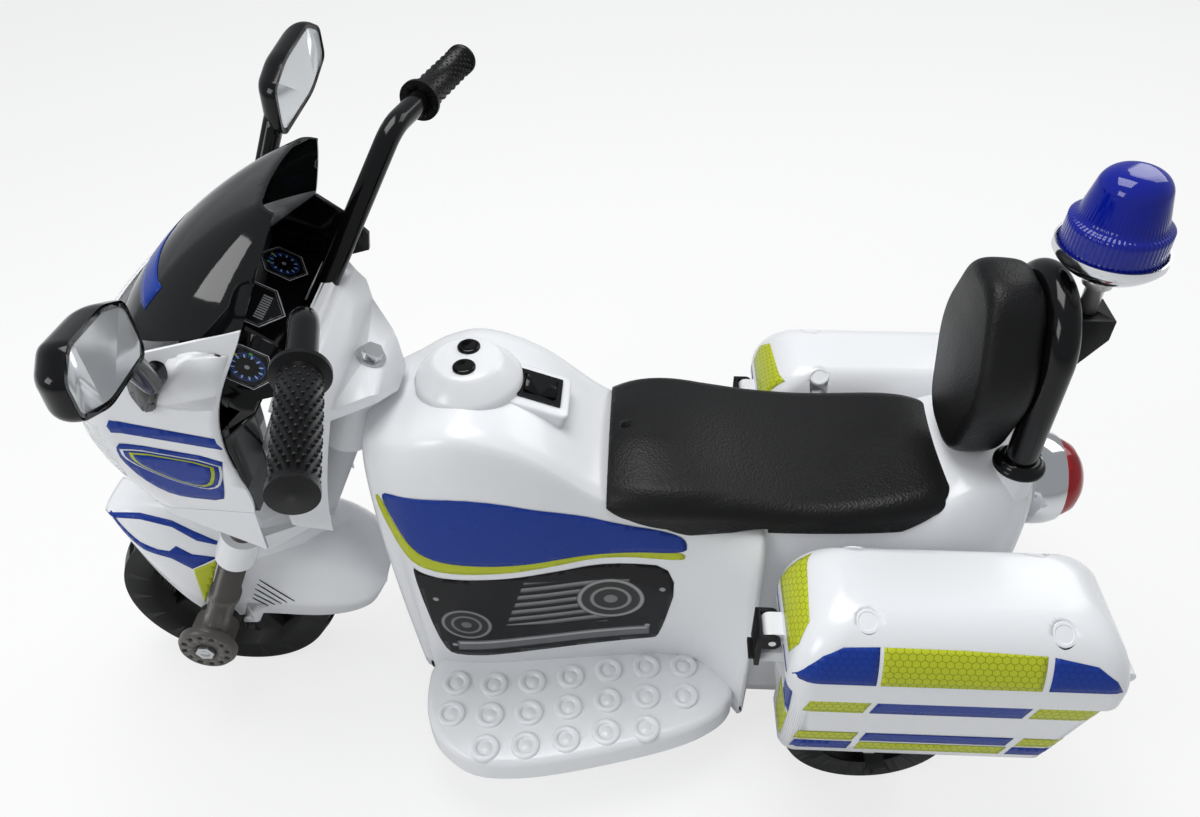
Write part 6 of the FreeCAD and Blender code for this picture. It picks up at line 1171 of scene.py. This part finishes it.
def dash_print(name, centre, reach, dial):
    """Black print with a fine white six-sided frame, round a dial of ticks or a display of bars."""
    material, tree = blank_material(name)
    spot = vectors(tree, "SUBTRACT", sheet_spot(tree), centre)
    parts = add(tree, "ShaderNodeSeparateXYZ", {0: spot})
    across, up = parts.outputs[0], parts.outputs[1]
    away = vectors(tree, "LENGTH", spot)
    edge = hexed(tree, spot)

    def both(first, second):
        return sums(tree, "MULTIPLY", first, second)

    def under(value, limit):
        return sums(tree, "LESS_THAN", value, limit)

    def band(value, low, high):
        return both(sums(tree, "GREATER_THAN", value, reach * low), under(value, reach * high))

    colour = (0.006, 0.006, 0.007, 1.0)
    colour = tinted(tree, band(edge, 0.93, 0.965), colour, (0.55, 0.56, 0.58, 1.0))
    colour = tinted(tree, band(edge, 0.86, 0.875), colour, (0.22, 0.22, 0.24, 1.0))
    if dial:
        angle = sums(tree, "ARCTAN2", up, across)
        for count, low, high, tint in ((36, 0.52, 0.60, (0.05, 0.16, 0.60, 1.0)),
                                       (12, 0.46, 0.62, (0.30, 0.45, 0.85, 1.0))):
            comb = sums(tree, "WRAP", sums(tree, "MULTIPLY", angle, count / (2 * math.pi)), 1.0, 0.0)
            colour = tinted(tree, both(under(comb, 0.24), band(away, low, high)), colour, tint)
        colour = tinted(tree, band(away, 0.66, 0.68), colour, (0.05, 0.14, 0.5, 1.0))
        colour = tinted(tree, band(away, -1.0, 0.10), colour, (0.3, 0.3, 0.32, 1.0))
    else:
        comb = sums(tree, "WRAP", sums(tree, "DIVIDE", across, reach * 0.12), 1.0, 0.0)
        bars = both(under(comb, 0.6), band(up, -0.55, -0.25))
        bars = both(bars, under(sums(tree, "ABSOLUTE", across), reach * 0.6))
        colour = tinted(tree, bars, colour, (0.30, 0.31, 0.32, 1.0))
    for shift, tint in ((0.30, (0.5, 0.45, 0.04, 1.0)), (-0.30, (0.06, 0.35, 0.10, 1.0))):
        near = vectors(tree, "DISTANCE", spot, (shift * reach, 0.62 * reach, 0.0))
        colour = tinted(tree, under(near, reach * 0.07), colour, tint)
    return printed(material, tree, colour, 0.12)


def on_wing(along, up):
    """Lays a sheet's two numbers on the outer face of the dash's left wing."""
    return Vector((along, wing_y, up))


dial_margin = 1.15
dial_turns = [math.radians(angle) for angle in range(0, 360, 60)]
for name, centre, reach, dial, lay, outward in (
        ("dial_right", (0.066, -0.006), 0.019, True, on_dash, dash_out),
        ("dial_left", (0.2129, 0.4711), 0.019, True, on_wing, (0.0, 1.0, 0.0)),
        ("display", (0.004, 0.003), 0.026, False, on_dash, dash_out)):
    border = reach * dial_margin
    outline = [(centre[0] + border * math.sin(turn), centre[1] + border * math.cos(turn))
               for turn in dial_turns]
    film = dash_print(name + "_print", centre + (0.0,), reach, dial)
    draped(name, outline, [skins["dashboard"]], film, lay, outward)

# Apron: two black sheets on each side close the nose below the dash, between the fairing's cheek and the
# neck. They are as shiny as the dash.
apron_places = ((0.060, 0.0265, 0.103), (0.074, 0.0138, 0.1045), (0.087, 0.002, 0.105),
                (0.088, -0.010, 0.1045), (0.0885, -0.036, 0.1005), (0.0905, -0.070, 0.094),
                (0.0915, -0.092, 0.090))
apron_inner, apron_wall = 0.038, 0.002
apron_back_x = 0.091
apron_back_halves, apron_back_levels = (0.0, 0.05, 0.101), (0.046, 0.022, -0.012)
for word, side in sides:
    rows = []
    for along, up, outer in apron_places:
        reaches = [apron_inner + (outer - apron_inner) * step / 4 for step in range(5)]
        rows.append([bolt + Vector((along, side * reach, up)) for reach in reaches])
    settle(sheeted("apron_" + word, rows, gloss_black, thick=apron_wall), "steering", "black_gloss")
    back = [[bolt + Vector((apron_back_x, side * half, up)) for half in apron_back_halves]
            for up in apron_back_levels]
    settle(sheeted("apron_back_" + word, back, gloss_black, thick=apron_wall), "steering", "black_gloss")

# Screen: a smoked sheet bowed round the nose, with a plain blue band across its front.
# It is nearly black, with sharp reflections.
smoked = plastic("smoked", (0.006, 0.0065, 0.007), 0.05, "peel", 0.03, 0.00003, shade=0.03,
                 **{"Transmission Weight": 0.35, "IOR": 1.46})
skinned(smoked, "windscreen")
screen_band = ((-0.072, 0.508), (0.072, 0.508), (0.069, 0.530), (-0.069, 0.530))
screen_front_x = 0.31
draped("screen_band", screen_band, [skins["windscreen"]], blue_print,
       lambda across, up: Vector((screen_front_x, across, up)), (1.0, 0.0, 0.25))

# Mirrors: black shield-shaped housings on tapered arms, each with a silver plate and a wedge-shaped foot
# that seats on the fairing.
skinned(gloss_black, "mirror_housing_left", "mirror_housing_right")
mirror_plate = plastic("mirror_plate", (0.80, 0.82, 0.84), 0.22, "peel", 0.03, 0.0004, metal=0.55, shade=0.05)
skinned(mirror_plate, "mirror_glasses")
foot_low = ((0.300, 0.4705), (0.288, 0.471), (0.2825, 0.460), (0.288, 0.436), (0.297, 0.434), (0.302, 0.450))
foot_base_y, foot_shelf_y = 0.1005, 0.109
foot_top = bolt + Vector((0.118, 0.119, 0.070))
foot_top_radius = 0.0085
foot_back, foot_rise = 0.003, 0.002
for word, side in sides:
    spots = [(along, side * foot_base_y, up) for along, up in foot_low]
    spots += [(along - foot_back, side * foot_shelf_y, up + foot_rise) for along, up in foot_low]
    spots += [(foot_top.x + foot_top_radius * math.cos(turn), side * foot_top.y,
               foot_top.z + foot_top_radius * math.sin(turn)) for turn in eighths]
    settle(hulled("mirror_foot_" + word, spots, gloss_black), "steering", "black_gloss")
